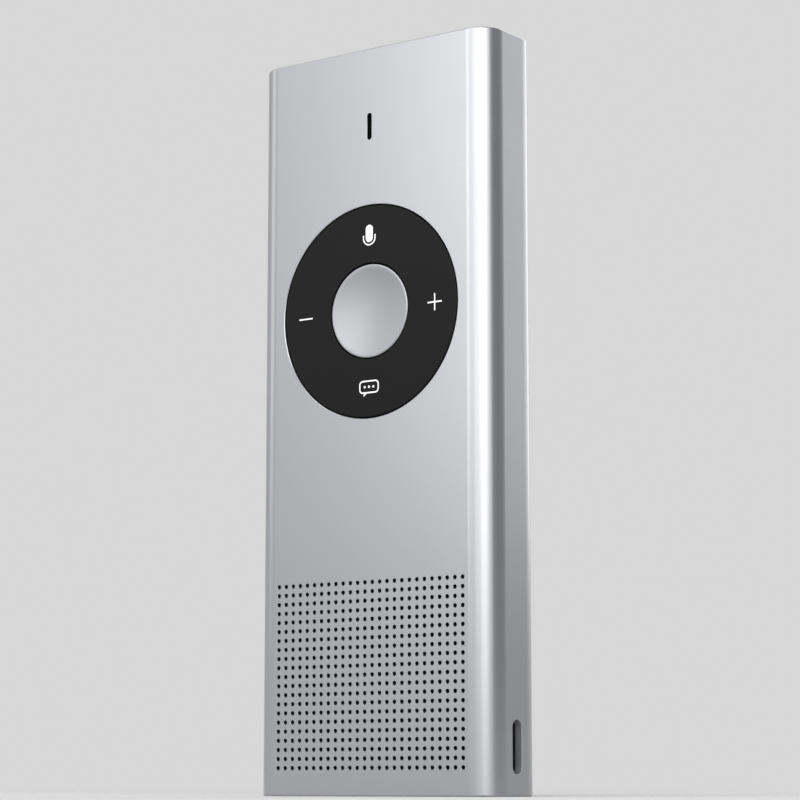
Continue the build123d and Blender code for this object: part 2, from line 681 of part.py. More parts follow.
# ================================ cables between boards ================================

key_cable_x = 0.0
mic_cable_x = -2.0
key_plug_z = (47.0, 49.0)
mic_plug_z = (50.6, 52.6)
cable_sheet = 0.12
plug_height = 0.9
plug_front = MAIN_BOARD[0] - plug_height

with BuildPart() as cable_sockets:
    for plug_z, half_width in ((key_plug_z, 4.4), (mic_plug_z, 2.6)):
        centre_x = key_cable_x if plug_z is key_plug_z else mic_cable_x
        component((2 * half_width, 2.0), (centre_x, sum(plug_z) / 2), plug_height)
save(cable_sockets, "cable_sockets")

# The key cable leaves the key board's rear face below the key frame.
key_cable_y = KEY_BOARD[1] + cable_sheet / 2
with BuildPart() as key_cable:
    add(ribbon(
        (
            (key_cable_y, KEY_Z - KEY_FRAME_HALF_HEIGHT - 0.1),
            (key_cable_y, 55.0),
            (plug_front - 0.9, 53.6),
            (plug_front - 0.9, 50.4),
            (plug_front - cable_sheet / 2, 49.4),
            (plug_front - cable_sheet / 2, key_plug_z[0]),
        ),
        0.35, cable_sheet, 7.0, key_cable_x,
    ))
save(key_cable, "key_cable")

# The microphone cable passes between the key frame and the battery.
mic_cable_y = 0.12
with BuildPart() as mic_cable:
    add(ribbon(
        (
            (MIC_BOARD[1] + cable_sheet / 2, 103.6),
            (MIC_BOARD[1] + cable_sheet / 2, 100.6),
            (mic_cable_y, 98.4),
            (mic_cable_y, 55.0),
            (plug_front - cable_sheet / 2, 54.0),
            (plug_front - cable_sheet / 2, mic_plug_z[0]),
        ),
        0.35, cable_sheet, 4.0, mic_cable_x,
    ))
save(mic_cable, "mic_cable")

# ================================ aerial ================================

with BuildPart() as aerial:
    block((-12, 12), (-0.8, 4.4), (top_wall_z[1], top_wall_z[1] + 0.15))
    for side in (-1, 1):
        slit = sorted((side * 2.0, side * 10.0))
        block(slit, (0.8, 2.6), (top_wall_z[1], top_wall_z[1] + 0.15), Mode.SUBTRACT)
save(aerial, "aerial")

aerial_plug_at = (-18.6, 44.0)
aerial_plug_height = 1.0
aerial_plug_radius = 1.0
with BuildPart() as aerial_plug:
    disc(aerial_plug_radius, (MAIN_BOARD[0] - aerial_plug_height, MAIN_BOARD[0]), aerial_plug_at)
save(aerial_plug, "aerial_plug")

with BuildPart() as aerial_cable:
    add(wire(
        (
            (aerial_plug_at[0], MAIN_BOARD[0] - aerial_plug_height / 2, aerial_plug_at[1] + 1.0),
            (aerial_plug_at[0], MAIN_BOARD[0] - aerial_plug_height / 2, 56.0),
            (cable_hole[0], cable_hole[1], 63.0),
            (cable_hole[0], cable_hole[1], top_wall_z[1]),
        ),
        2.0, 0.4,
    ))
save(aerial_cable, "aerial_cable")

# ================================ battery ================================

with BuildPart() as battery_cell:
    block((-BATTERY_HALF_WIDTH, BATTERY_HALF_WIDTH), BATTERY, BATTERY_Z)
    fillet(battery_cell.edges().filter_by(Axis.Z), 1.4)
save(battery_cell, "battery_cell")

with BuildPart() as battery_tape:
    block((-14, 14), (BATTERY[1], CHASSIS_PLATE_Y), (BATTERY_Z[0] + 4, BATTERY_Z[1] - 4))
save(battery_tape, "battery_tape")

battery_board_z = (BATTERY_Z[0] - 3.0, BATTERY_Z[0])
battery_board_y = (1.6, 2.4)
with BuildPart() as battery_board:
    block((-14, 14), battery_board_y, battery_board_z)
save(battery_board, "battery_board")

battery_plug_x = 16.0
battery_plug_z = (51.4, 53.8)
with BuildPart() as battery_socket:
    block(
        (battery_plug_x - 2.6, battery_plug_x + 2.6), (MAIN_BOARD[0] - 0.6, MAIN_BOARD[0]),
        battery_plug_z,
    )
save(battery_socket, "battery_socket")

with BuildPart() as battery_plug:
    block(
        (battery_plug_x - 2.2, battery_plug_x + 2.2), (MAIN_BOARD[0] - 2.0, MAIN_BOARD[0] - 0.6),
        battery_plug_z,
    )
save(battery_plug, "battery_plug")


def battery_lead(side):
    """Return the lead on one side of the plug, from the cell's board down to the plug."""
    lead_y = MAIN_BOARD[0] - 1.3
    return wire(
        (
            (12.4 + side * 0.8, 1.1, battery_board_z[0] + 1.4),
            (12.4 + side * 0.8, 1.1, 59.2),
            (battery_plug_x + side * 1.0, lead_y, 56.8),
            (battery_plug_x + side * 1.0, lead_y, battery_plug_z[1]),
        ),
        1.0, 0.45,
    )


with BuildPart() as battery_lead_red:
    add(battery_lead(1))
save(battery_lead_red, "battery_lead_red")

with BuildPart() as battery_lead_black:
    add(battery_lead(-1))
save(battery_lead_black, "battery_lead_black")

# ================================ speaker ================================

speaker_at = (0, SPEAKER_Z)
box_inner = (SPEAKER_BOX_SIZE[0] - 2 * SPEAKER_BOX_WALL, SPEAKER_BOX_SIZE[1] - 2 * SPEAKER_BOX_WALL)

with BuildPart() as speaker_mesh:
    rounded_plate((38.0, 31.4), 1.5, (INNER_FRONT, INNER_FRONT + 0.15), (0, HOLES_MIDDLE_Z + 0.2))
save(speaker_mesh, "speaker_mesh")

with BuildPart() as speaker_gasket:
    gasket_y = (INNER_FRONT + 0.15, SPEAKER_BOX[0])
    rounded_plate(SPEAKER_BOX_SIZE, 1.5, gasket_y, speaker_at)
    gasket_window = (SPEAKER_BOX_SIZE[0] - 3.0, SPEAKER_BOX_SIZE[1] - 3.0)
    rounded_plate(gasket_window, 1.0, gasket_y, speaker_at, Mode.SUBTRACT)
save(speaker_gasket, "speaker_gasket")

with BuildPart() as speaker_box:
    rounded_plate(SPEAKER_BOX_SIZE, 1.5, SPEAKER_BOX, speaker_at)
    cavity_y = (SPEAKER_BOX[0], SPEAKER_BOX[1] - SPEAKER_BOX_WALL)
    rounded_plate(box_inner, 0.8, cavity_y, speaker_at, Mode.SUBTRACT)
    rounded_plate((box_inner[0] + 0.4, box_inner[1] + 0.4), 0.8, BAFFLE, speaker_at)
    tub_window = (BASKET_TUB_SIZE[0] + 0.2, BASKET_TUB_SIZE[1] + 0.2)
    rounded_plate(tub_window, 2.6, BAFFLE, speaker_at, Mode.SUBTRACT)
save(speaker_box, "speaker_box")

with BuildPart() as speaker_basket:
    rounded_plate((30.0, 17.0), 3.0, (SPEAKER_BOX[0], BAFFLE[0]), speaker_at)
    rounded_plate(BASKET_TUB_SIZE, 2.5, (BAFFLE[0], YOKE[1]), speaker_at)
    tub_inside = (BASKET_TUB_SIZE[0] - 2 * BASKET_WALL, BASKET_TUB_SIZE[1] - 2 * BASKET_WALL)
    rounded_plate(tub_inside, 1.8, (SPEAKER_BOX[0], YOKE[1]), speaker_at, Mode.SUBTRACT)
save(speaker_basket, "speaker_basket")

with BuildPart() as speaker_yoke:
    rounded_plate((tub_inside[0] - 0.1, tub_inside[1] - 0.1), 1.7, YOKE, speaker_at)
save(speaker_yoke, "speaker_yoke")

magnet_y = (-3.7, YOKE[0])
magnet_size = (12.4, 4.4)
with BuildPart() as speaker_magnet:
    rounded_plate(magnet_size, 1.0, magnet_y, speaker_at)
save(speaker_magnet, "speaker_magnet")

with BuildPart() as speaker_pole_plate:
    rounded_plate(magnet_size, 1.0, (magnet_y[0] - 0.3, magnet_y[0]), speaker_at)
save(speaker_pole_plate, "speaker_pole_plate")

with BuildPart() as speaker_side_magnets:
    for side in (-1, 1):
        rounded_plate((16.0, 1.6), 0.3, magnet_y, (0, SPEAKER_Z + side * 4.7))
save(speaker_side_magnets, "speaker_side_magnets")

with BuildPart() as speaker_coil:
    coil_y = (CONE[1], COIL_BACK)
    rounded_plate(COIL_SIZE, 1.8, coil_y, speaker_at)
    rounded_plate((COIL_SIZE[0] - 1.2, COIL_SIZE[1] - 1.2), 1.2, coil_y, speaker_at, Mode.SUBTRACT)
save(speaker_coil, "speaker_coil")

with BuildPart() as speaker_cone:
    rounded_plate(CONE_SIZE, 3.0, CONE, speaker_at)
save(speaker_cone, "speaker_cone")

with BuildPart() as speaker_surround:
    rounded_plate((tub_inside[0] - 0.1, tub_inside[1] - 0.1), 1.7, CONE, speaker_at)
    rounded_plate(CONE_SIZE, 3.0, CONE, speaker_at, Mode.SUBTRACT)
save(speaker_surround, "speaker_surround")

with BuildPart() as speaker_contacts:
    for side in (-1, 1):
        rounded_plate((2.4, 1.4), 0.3, (SPEAKER_BOX[1], MAIN_BOARD[0]), (side * 3.0, SPEAKER_Z - 6))
save(speaker_contacts, "speaker_contacts")
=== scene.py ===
import json
import logging
import math
from dataclasses import dataclass, field
from enum import Enum
from typing import Any, Callable

import bmesh
import bpy
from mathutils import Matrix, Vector

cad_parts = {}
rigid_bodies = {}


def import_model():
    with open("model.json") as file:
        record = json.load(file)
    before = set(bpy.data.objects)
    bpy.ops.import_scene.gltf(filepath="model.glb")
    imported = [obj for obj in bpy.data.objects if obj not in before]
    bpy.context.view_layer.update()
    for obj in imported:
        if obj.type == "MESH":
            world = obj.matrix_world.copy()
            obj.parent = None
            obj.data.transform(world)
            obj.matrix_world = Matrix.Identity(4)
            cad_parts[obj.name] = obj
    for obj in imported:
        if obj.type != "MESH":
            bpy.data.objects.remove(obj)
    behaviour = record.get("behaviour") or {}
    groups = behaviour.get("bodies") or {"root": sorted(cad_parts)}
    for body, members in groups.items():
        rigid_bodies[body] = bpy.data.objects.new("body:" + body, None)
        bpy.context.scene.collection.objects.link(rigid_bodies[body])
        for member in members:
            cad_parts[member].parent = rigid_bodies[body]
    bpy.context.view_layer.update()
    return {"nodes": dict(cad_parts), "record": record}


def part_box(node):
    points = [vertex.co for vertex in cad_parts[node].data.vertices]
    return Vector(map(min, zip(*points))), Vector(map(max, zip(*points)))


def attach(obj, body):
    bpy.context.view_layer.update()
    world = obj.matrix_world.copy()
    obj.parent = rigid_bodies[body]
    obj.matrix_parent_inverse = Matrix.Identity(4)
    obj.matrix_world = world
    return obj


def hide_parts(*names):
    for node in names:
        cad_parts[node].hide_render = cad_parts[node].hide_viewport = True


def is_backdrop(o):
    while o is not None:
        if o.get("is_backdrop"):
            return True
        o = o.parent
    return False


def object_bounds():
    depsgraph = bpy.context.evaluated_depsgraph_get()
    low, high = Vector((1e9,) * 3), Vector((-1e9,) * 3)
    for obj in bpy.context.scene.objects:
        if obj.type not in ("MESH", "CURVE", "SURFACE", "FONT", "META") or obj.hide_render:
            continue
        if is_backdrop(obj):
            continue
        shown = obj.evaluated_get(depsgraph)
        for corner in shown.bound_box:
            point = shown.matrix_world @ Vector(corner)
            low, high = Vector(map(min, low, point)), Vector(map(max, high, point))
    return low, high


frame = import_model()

# The handheld translator's looks: an anodised aluminium sleeve with a ring key, a dished centre
# button, a microphone slot, a grid of speaker holes and a charging port. X is the width, the
# front looks along -Y, Z is up, and the origin is the middle of the bottom face. In metres.

LOG = logging.getLogger("translator")
MM = 0.001
FULL_TURN = 2 * math.pi
QUARTER_TURN = math.pi / 2
SMOOTH_ANGLE = math.radians(30)
# Cosines above which a face or an edge counts as lying along an axis, and a face as quite flat.
SAME_WAY = 0.9999
DEAD_FLAT = 0.99999
# Distances in metres below which two places count as one, and two vertices are merged.
TOUCH = 1e-6
MERGE = 1e-7
# How many chamfer widths a cutter stands out of the surface that it cuts.
PROUD = 4
# How much of a half width is rounded, so that the two roundings of an end don't quite meet.
ROUND_SHARE = 0.999
# The wave texture's length of one wave at scale 1.
WAVE_LENGTH = FULL_TURN / 20


class Pick(Enum):
    """What a selection in edit mode picks."""

    VERTS = "VERT"
    EDGES = "EDGE"
    FACES = "FACE"


class Blend(Enum):
    """How one solid shape changes another."""

    CUT = "DIFFERENCE"
    WELD = "UNION"


class Body(Enum):
    """The bodies that pieces ride on."""

    CASING = "casing"
    RING = "ring"
    BUTTON = "center_button"


# ------------------------------------------------------------------ modelling by hand


def deselect() -> None:
    """Leave edit mode and select nothing."""
    if bpy.context.mode != "OBJECT":
        bpy.ops.object.mode_set(mode="OBJECT")
    bpy.ops.object.select_all(action="DESELECT")


def activate(piece: bpy.types.Object) -> None:
    """Select one piece alone and make it the active one.

    Args:
        piece: the piece.
    """
    deselect()
    piece.select_set(True)
    bpy.context.view_layer.objects.active = piece


def settle(name: str) -> bpy.types.Object:
    """Name the new active piece and put its place, turn and scale into its mesh.

    Args:
        name: the piece's name.

    Returns:
        The piece, with its object at the origin.
    """
    piece = bpy.context.active_object
    piece.name = name
    piece.data.name = name
    bpy.ops.object.transform_apply(location=True, rotation=True, scale=True)
    return piece


def cuboid(name: str, low: Vector, high: Vector) -> bpy.types.Object:
    """Add a cuboid between two corners.

    Args:
        name: the piece's name.
        low: its lowest corner.
        high: its highest corner.

    Returns:
        The cuboid.
    """
    deselect()
    bpy.ops.mesh.primitive_cube_add(size=1, location=(low + high) / 2)
    bpy.context.active_object.scale = high - low
    return settle(name)


def rod(name: str, radius: float, start: Vector, end: Vector, sides: int) -> bpy.types.Object:
    """Add a round rod between two points.

    Args:
        name: the piece's name.
        radius: its radius in metres.
        start: the middle of its first end.
        end: the middle of its second end.
        sides: how many flats stand for the round.

    Returns:
        The rod.
    """
    deselect()
    along = end - start
    turn = Vector((0, 0, 1)).rotation_difference(along).to_euler()
    bpy.ops.mesh.primitive_cylinder_add(
        vertices=sides, radius=radius, depth=along.length, location=(start + end) / 2, rotation=turn
    )
    return settle(name)


def choose(pick: Pick, test: Callable[[Any], bool]) -> None:
    """In edit mode, select what passes a test and nothing else.

    Args:
        pick: whether vertices, edges or faces are picked.
        test: says of one vertex, edge or face whether it is picked.
    """
    bpy.ops.mesh.select_mode(type=pick.value)
    bpy.ops.mesh.select_all(action="DESELECT")
    mesh = bpy.context.edit_object.data
    work = bmesh.from_edit_mesh(mesh)
    work.normal_update()
    groups = {Pick.VERTS: work.verts, Pick.EDGES: work.edges, Pick.FACES: work.faces}
    for item in groups[pick]:
        if test(item):
            item.select_set(True)
    work.select_flush_mode()
    bmesh.update_edit_mesh(mesh)


def edit(piece: bpy.types.Object) -> None:
    """Open one piece in edit mode."""
    activate(piece)
    bpy.ops.object.mode_set(mode="EDIT")


def faces_along(axis: int, sign: int) -> Callable[[Any], bool]:
    """Return a test for faces that look along one axis.

    Args:
        axis: 0, 1 or 2 for X, Y or Z.
        sign: 1 or -1 for the way they look.

    Returns:
        The test, which takes a face.
    """
    return lambda face: face.normal[axis] * sign > SAME_WAY


def edges_along(axis: int) -> Callable[[Any], bool]:
    """Return a test for edges that run along one axis.

    Args:
        axis: 0, 1 or 2 for X, Y or Z.

    Returns:
        The test, which takes an edge.
    """

    def test(edge: Any) -> bool:
        """Say whether the edge runs along the axis."""
        run = edge.verts[1].co - edge.verts[0].co
        return abs(run[axis]) > SAME_WAY * run.length

    return test


def verts_at(axis: int, place: float) -> Callable[[Any], bool]:
    """Return a test for edges or faces whose vertices all lie at one place along an axis."""
    return lambda item: all(abs(vert.co[axis] - place) < TOUCH for vert in item.verts)


def clean(piece: bpy.types.Object) -> None:
    """Merge doubled vertices and turn all faces outwards.

    Args:
        piece: the piece to clean.
    """
    edit(piece)
    bpy.ops.mesh.select_all(action="SELECT")
    bpy.ops.mesh.remove_doubles(threshold=MERGE)
    bpy.ops.mesh.delete_loose()
    bpy.ops.mesh.select_all(action="SELECT")
    bpy.ops.mesh.normals_make_consistent(inside=False)
    deselect()


def smooth(piece: bpy.types.Object, flat: Callable[[Any], bool] | None = None) -> None:
    """Shade curved faces smoothly and keep flat faces flat.

    Args:
        piece: the piece to shade.
        flat: says of a face whether it is a flat one that no curve next to it may bend.
    """
    activate(piece)
    bpy.ops.object.shade_smooth_by_angle(angle=SMOOTH_ANGLE)
    if flat:
        edit(piece)
        choose(Pick.EDGES, lambda edge: len({flat(face) for face in edge.link_faces}) == 2)
        bpy.ops.mesh.mark_sharp()
        activate(piece)
    weights = piece.modifiers.new("weights", "WEIGHTED_NORMAL")
    weights.keep_sharp = True
    bpy.ops.object.modifier_apply(modifier=weights.name)
    deselect()


def combine(piece: bpy.types.Object, tools: list[bpy.types.Object], how: Blend) -> None:
    """Cut tools out of a piece, or weld them on, all in one step.

    Args:
        piece: the piece that changes.
        tools: the other shapes, which don't meet each other and are used up.
        how: whether they are cut out or welded on.
    """
    deselect()
    for tool in tools:
        tool.select_set(True)
    bpy.context.view_layer.objects.active = tools[0]
    bpy.ops.object.join()
    activate(piece)
    boolean = piece.modifiers.new("combine", "BOOLEAN")
    boolean.operation = how.value
    boolean.solver = "EXACT"
    boolean.object = tools[0]
    bpy.ops.object.modifier_apply(modifier=boolean.name)
    deselect()
    bpy.data.objects.remove(tools[0], do_unlink=True)


def repeat(piece: bpy.types.Object, count: int, step: Vector) -> None:
    """Repeat a piece along a line as one mesh.

    Args:
        piece: the piece that is modelled once.
        count: how many there are in all.
        step: the way from one to the next.
    """
    activate(piece)
    array = piece.modifiers.new("array", "ARRAY")
    array.count = count
    array.use_relative_offset = False
    array.use_constant_offset = True
    array.constant_offset_displace = step
    bpy.ops.object.modifier_apply(modifier=array.name)
    deselect()


def turned(
    name: str, profile: list[tuple[float, float]], middle: Vector, steps: int
) -> bpy.types.Object:
    """Turn a closed profile about a line along Y, as on a lathe.

    Args:
        name: the piece's name.
        profile: (radius, y) points in metres, in order round the section.
        middle: a point on the line that the profile turns about.
        steps: how many steps the full turn has.

    Returns:
        The turned piece.
    """
    deselect()
    points = [Vector((middle.x + radius, y, middle.z)) for radius, y in profile]
    bpy.ops.mesh.primitive_plane_add(size=MM, location=points[0])
    piece = settle(name)
    edit(piece)
    bpy.ops.mesh.select_mode(type="VERT")
    bpy.ops.mesh.select_all(action="SELECT")
    bpy.ops.mesh.merge(type="CENTER")
    for here, there in zip(points, points[1:] + points[:1]):
        bpy.ops.mesh.extrude_vertices_move(TRANSFORM_OT_translate={"value": there - here})
    bpy.ops.mesh.select_all(action="SELECT")
    bpy.ops.mesh.remove_doubles(threshold=MERGE)
    bpy.ops.mesh.select_all(action="SELECT")
    centre = (middle.x, 0.0, middle.z)
    bpy.ops.mesh.spin(
        steps=steps, angle=FULL_TURN, center=centre, axis=(0, 1, 0), use_auto_merge=True
    )
    clean(piece)
    return piece


def flare(cutter: bpy.types.Object, axis: int, sign: int, edge: float) -> None:
    """Widen a straight cutter's outer end, so that it leaves a chamfer, and let it stand out.

    Args:
        cutter: the straight cutter, which ends at the bottom of the chamfer.
        axis: the axis that it cuts along.
        sign: the way that its outer end looks along that axis.
        edge: how wide and deep the chamfer is.
    """
    corners = [Vector(corner) for corner in cutter.bound_box]
    middle = sum(corners, Vector()) / len(corners)
    scale = [1 + edge / abs(corners[0][i] - middle[i]) for i in range(3)]
    scale[axis] = 1
    out = Vector((0, 0, 0))
    out[axis] = sign * edge
    edit(cutter)
    choose(Pick.FACES, faces_along(axis, sign))
    bpy.ops.mesh.extrude_region_move(TRANSFORM_OT_translate={"value": out})
    bpy.ops.transform.resize(value=scale, center_override=middle)
    bpy.ops.mesh.extrude_region_move(TRANSFORM_OT_translate={"value": out * PROUD})
    deselect()


# ------------------------------------------------------------------ finishes


def linear(code: str) -> tuple[float, float, float, float]:
    """Turn an sRGB hex colour into a linear one, by the curve of the sRGB standard.

    Args:
        code: the colour, such as "#C8C9CB".

    Returns:
        Red, green, blue and an alpha of 1.
    """
    channels = [int(code[i:i + 2], 16) / 255 for i in (1, 3, 5)]
    low = [value / 12.92 for value in channels]
    high = [((value + 0.055) / 1.055) ** 2.4 for value in channels]
    mixed = [small if value <= 0.04045 else big for value, small, big in zip(channels, low, high)]
    return (*mixed, 1.0)


def add_node(
    tree: bpy.types.NodeTree,
    kind: str,
    settings: dict[str | int, Any] | None = None,
    links: dict[str | int, bpy.types.NodeSocket] | None = None,
) -> bpy.types.Node:
    """Add one node with its settings and links.

    Args:
        tree: the node tree of a material or of the world.
        kind: the node's type.
        settings: values by name; a name or number of an input sets that input, and any other
            name sets a property of the node.
        links: output sockets by the input that each one feeds.

    Returns:
        The new node.
    """
    node = tree.nodes.new(kind)
    for key, value in (settings or {}).items():
        if isinstance(key, str) and hasattr(node, key):
            setattr(node, key, value)
        else:
            node.inputs[key].default_value = value
    for key, socket in (links or {}).items():
        tree.links.new(socket, node.inputs[key])
    return node


@dataclass(frozen=True)
class Finish:
    """A surface finish: a base colour, a roughness, and a fine grain in its bump and gloss.

    Attributes:
        name: what the material is and how its surface was made.
        colour: sRGB hex colour.
        second: sRGB hex colour that the first one drifts towards in patches.
        roughness: the middle of the roughness.
        metallic: 1 for bare metal, 0 for anything else.
        grain_mm: the size of the grain in the surface.
        depth_mm: how deep the grain is.
        patch_mm: the size of the patches of colour and gloss.
        drift: how far the roughness drifts in the patches.
        specular: the specular level, 0.5 for most plastics.
    """

    name: str
    colour: str
    second: str
    roughness: float
    metallic: float = 0.0
    grain_mm: float = 0.2
    depth_mm: float = 0.004
    patch_mm: float = 8.0
    drift: float = 0.03
    specular: float = 0.5

    def pattern(self, tree: bpy.types.NodeTree, place: bpy.types.NodeSocket) -> bpy.types.NodeSocket:
        """Add the height pattern of the grain.

        Args:
            tree: the material's node tree.
            place: the Object coordinates.

        Returns:
            The socket of the height, from 0 to 1.
        """
        grain = add_node(
            tree, "ShaderNodeTexNoise",
            {"Scale": 1 / (self.grain_mm * MM), "Detail": 3.0, "Roughness": 0.6}, {"Vector": place},
        )
        return grain.outputs["Fac"]

    def tint(
        self, tree: bpy.types.NodeTree, place: bpy.types.NodeSocket, patches: bpy.types.NodeSocket
    ) -> bpy.types.NodeSocket:
        """Add the colour, which drifts between the two colours in patches.

        Args:
            tree: the material's node tree.
            place: the Object coordinates.
            patches: the socket of the patches, from 0 to 1.

        Returns:
            The socket of the colour.
        """
        mix = add_node(
            tree, "ShaderNodeMixRGB",
            {"Color1": linear(self.colour), "Color2": linear(self.second)}, {"Fac": patches},
        )
        return mix.outputs["Color"]

    def make(self) -> bpy.types.Material:
        """Build the material.

        Returns:
            The material.
        """
        material = bpy.data.materials.new(self.name)
        material.use_nodes = True
        tree = material.node_tree
        tree.nodes.clear()
        place = add_node(tree, "ShaderNodeTexCoord").outputs["Object"]
        patches = add_node(
            tree, "ShaderNodeTexNoise",
            {"Scale": 1 / (self.patch_mm * MM), "Detail": 2.0}, {"Vector": place},
        ).outputs["Fac"]
        gloss = add_node(
            tree, "ShaderNodeMapRange",
            {"To Min": self.roughness - self.drift, "To Max": self.roughness + self.drift},
            {"Value": patches},
        )
        bump = add_node(
            tree, "ShaderNodeBump", {"Strength": 1.0, "Distance": self.depth_mm * MM},
            {"Height": self.pattern(tree, place)},
        )
        shader = add_node(
            tree, "ShaderNodeBsdfPrincipled",
            {"Metallic": self.metallic, "Specular IOR Level": self.specular},
            {
                "Base Color": self.tint(tree, place, patches),
                "Roughness": gloss.outputs["Result"],
                "Normal": bump.outputs["Normal"],
            },
        )
        add_node(tree, "ShaderNodeOutputMaterial", links={"Surface": shader.outputs["BSDF"]})
        return material


@dataclass(frozen=True)
class StrandedFinish(Finish):
    """A finish with fine lines along one axis, as on brushed or rolled sheet and wound wire.

    Attributes:
        axis: 0, 1 or 2 for the axis that the lines run along.
        stretch: how many times longer than wide the lines are.
    """

    axis: int = 0
    stretch: float = 30.0

    def pattern(self, tree: bpy.types.NodeTree, place: bpy.types.NodeSocket) -> bpy.types.NodeSocket:
        """Add the height pattern of the lines.

        Args:
            tree: the material's node tree.
            place: the Object coordinates.

        Returns:
            The socket of the height, from 0 to 1.
        """
        scale = [1 / self.stretch if axis == self.axis else 1.0 for axis in range(3)]
        squeezed = add_node(tree, "ShaderNodeMapping", {"Scale": scale}, {"Vector": place})
        return super().pattern(tree, squeezed.outputs["Vector"])


@dataclass(frozen=True)
class WovenFinish(Finish):
    """A woven mesh: two crossing sets of threads, grain_mm apart, in the XZ plane."""

    def pattern(self, tree: bpy.types.NodeTree, place: bpy.types.NodeSocket) -> bpy.types.NodeSocket:
        """Add the height pattern of the crossing threads.

        Args:
            tree: the material's node tree.
            place: the Object coordinates.

        Returns:
            The socket of the height, from 0 to 1.
        """
        scale = WAVE_LENGTH / (self.grain_mm * MM)
        threads = [
            add_node(
                tree, "ShaderNodeTexWave",
                {"bands_direction": way, "Scale": scale, "Distortion": 0.0}, {"Vector": place},
            ).outputs["Fac"]
            for way in ("X", "Z")
        ]
        top = add_node(tree, "ShaderNodeMath", {"operation": "MAXIMUM"}, {0: threads[0], 1: threads[1]})
        return top.outputs["Value"]


@dataclass(frozen=True)
class TracedFinish(Finish):
    """A circuit board or flat cable: copper tracks show as slightly raised, lighter lines.

    Attributes:
        track_mm: the size of the blocks that the tracks run round.
    """

    track_mm: float = 2.4

    def tint(
        self, tree: bpy.types.NodeTree, place: bpy.types.NodeSocket, patches: bpy.types.NodeSocket
    ) -> bpy.types.NodeSocket:
        """Add the mask's colour, with the tracks' colour between blocks.

        Args:
            tree: the material's node tree.
            place: the Object coordinates.
            patches: the socket of the patches, from 0 to 1.

        Returns:
            The socket of the colour.
        """
        flat = add_node(
            tree, "ShaderNodeMapping", {"Rotation": (QUARTER_TURN, 0, 0)}, {"Vector": place}
        )
        tracks = add_node(
            tree, "ShaderNodeTexBrick",
            {
                "Color1": linear(self.colour), "Color2": linear(self.colour),
                "Mortar": linear(self.second), "Mortar Size": 0.06, "Mortar Smooth": 0.3,
                "Scale": 1 / (self.track_mm * MM), "Brick Width": 0.9, "Row Height": 0.35,
            },
            {"Vector": flat.outputs["Vector"]},
        )
        return tracks.outputs["Color"]


@dataclass(frozen=True)
class Backdrop:
    """The soft surround, which is pale, and darker towards the right of the object.

    Attributes:
        pale: sRGB hex colour of its front, left and back.
        shade: sRGB hex colour of its right.
    """

    pale: str = "#D7D7D7"
    shade: str = "#9E9E9E"

    def colour(self, tree: bpy.types.NodeTree, way: bpy.types.NodeSocket) -> bpy.types.NodeSocket:
        """Add the colour that the surround has in a direction from the object.

        Args:
            tree: the node tree of a material or of the world.
            way: the socket of the direction, one unit long.

        Returns:
            The socket of the colour.
        """
        parts = add_node(tree, "ShaderNodeSeparateXYZ", links={"Vector": way})
        right = add_node(
            tree, "ShaderNodeMapRange",
            {"interpolation_type": "SMOOTHSTEP"}, {"Value": parts.outputs["X"]},
        )
        mix = add_node(
            tree, "ShaderNodeMixRGB",
            {"Color1": linear(self.pale), "Color2": linear(self.shade)}, {"Fac": right.outputs["Result"]},
        )
        return mix.outputs["Color"]


@dataclass(frozen=True)
class PaperFinish(Finish):
    """A paper floor that fades into the backdrop away from the object.

    Attributes:
        backdrop: the surround that it fades into.
        fade: the distances in metres from the origin at which the fade starts and ends.
    """

    backdrop: Backdrop = Backdrop()
    fade: tuple[float, float] = (0.15, 0.45)

    def make(self) -> bpy.types.Material:
        """Build the material: the paper, and further away the backdrop's own glow.

        Returns:
            The material.
        """
        material = super().make()
        tree = material.node_tree
        output = next(node for node in tree.nodes if node.type == "OUTPUT_MATERIAL")
        paper = output.inputs["Surface"].links[0].from_socket
        place = add_node(tree, "ShaderNodeTexCoord").outputs["Object"]
        away = add_node(tree, "ShaderNodeVectorMath", {"operation": "LENGTH"}, {0: place})
        near, far = self.fade
        faded = add_node(
            tree, "ShaderNodeMapRange",
            {"interpolation_type": "SMOOTHSTEP", "From Min": near, "From Max": far},
            {"Value": away.outputs["Value"]},
        ).outputs["Result"]
        path = add_node(tree, "ShaderNodeLightPath")
        seen = path.outputs["Is Camera Ray"]
        for ray in ("Is Glossy Ray", "Is Transmission Ray"):
            seen = add_node(
                tree, "ShaderNodeMath", {"operation": "MAXIMUM"}, {0: seen, 1: path.outputs[ray]}
            ).outputs["Value"]
        share = add_node(tree, "ShaderNodeMath", {"operation": "MULTIPLY"}, {0: faded, 1: seen})
        way = add_node(tree, "ShaderNodeVectorMath", {"operation": "NORMALIZE"}, {0: place})
        colour = self.backdrop.colour(tree, way.outputs["Vector"])
        glow = add_node(tree, "ShaderNodeEmission", {"Strength": 1.0}, {"Color": colour})
        mix = add_node(
            tree, "ShaderNodeMixShader",
            links={0: share.outputs["Value"], 1: paper, 2: glow.outputs["Emission"]},
        )
        tree.links.new(mix.outputs["Shader"], output.inputs["Surface"])
        return material


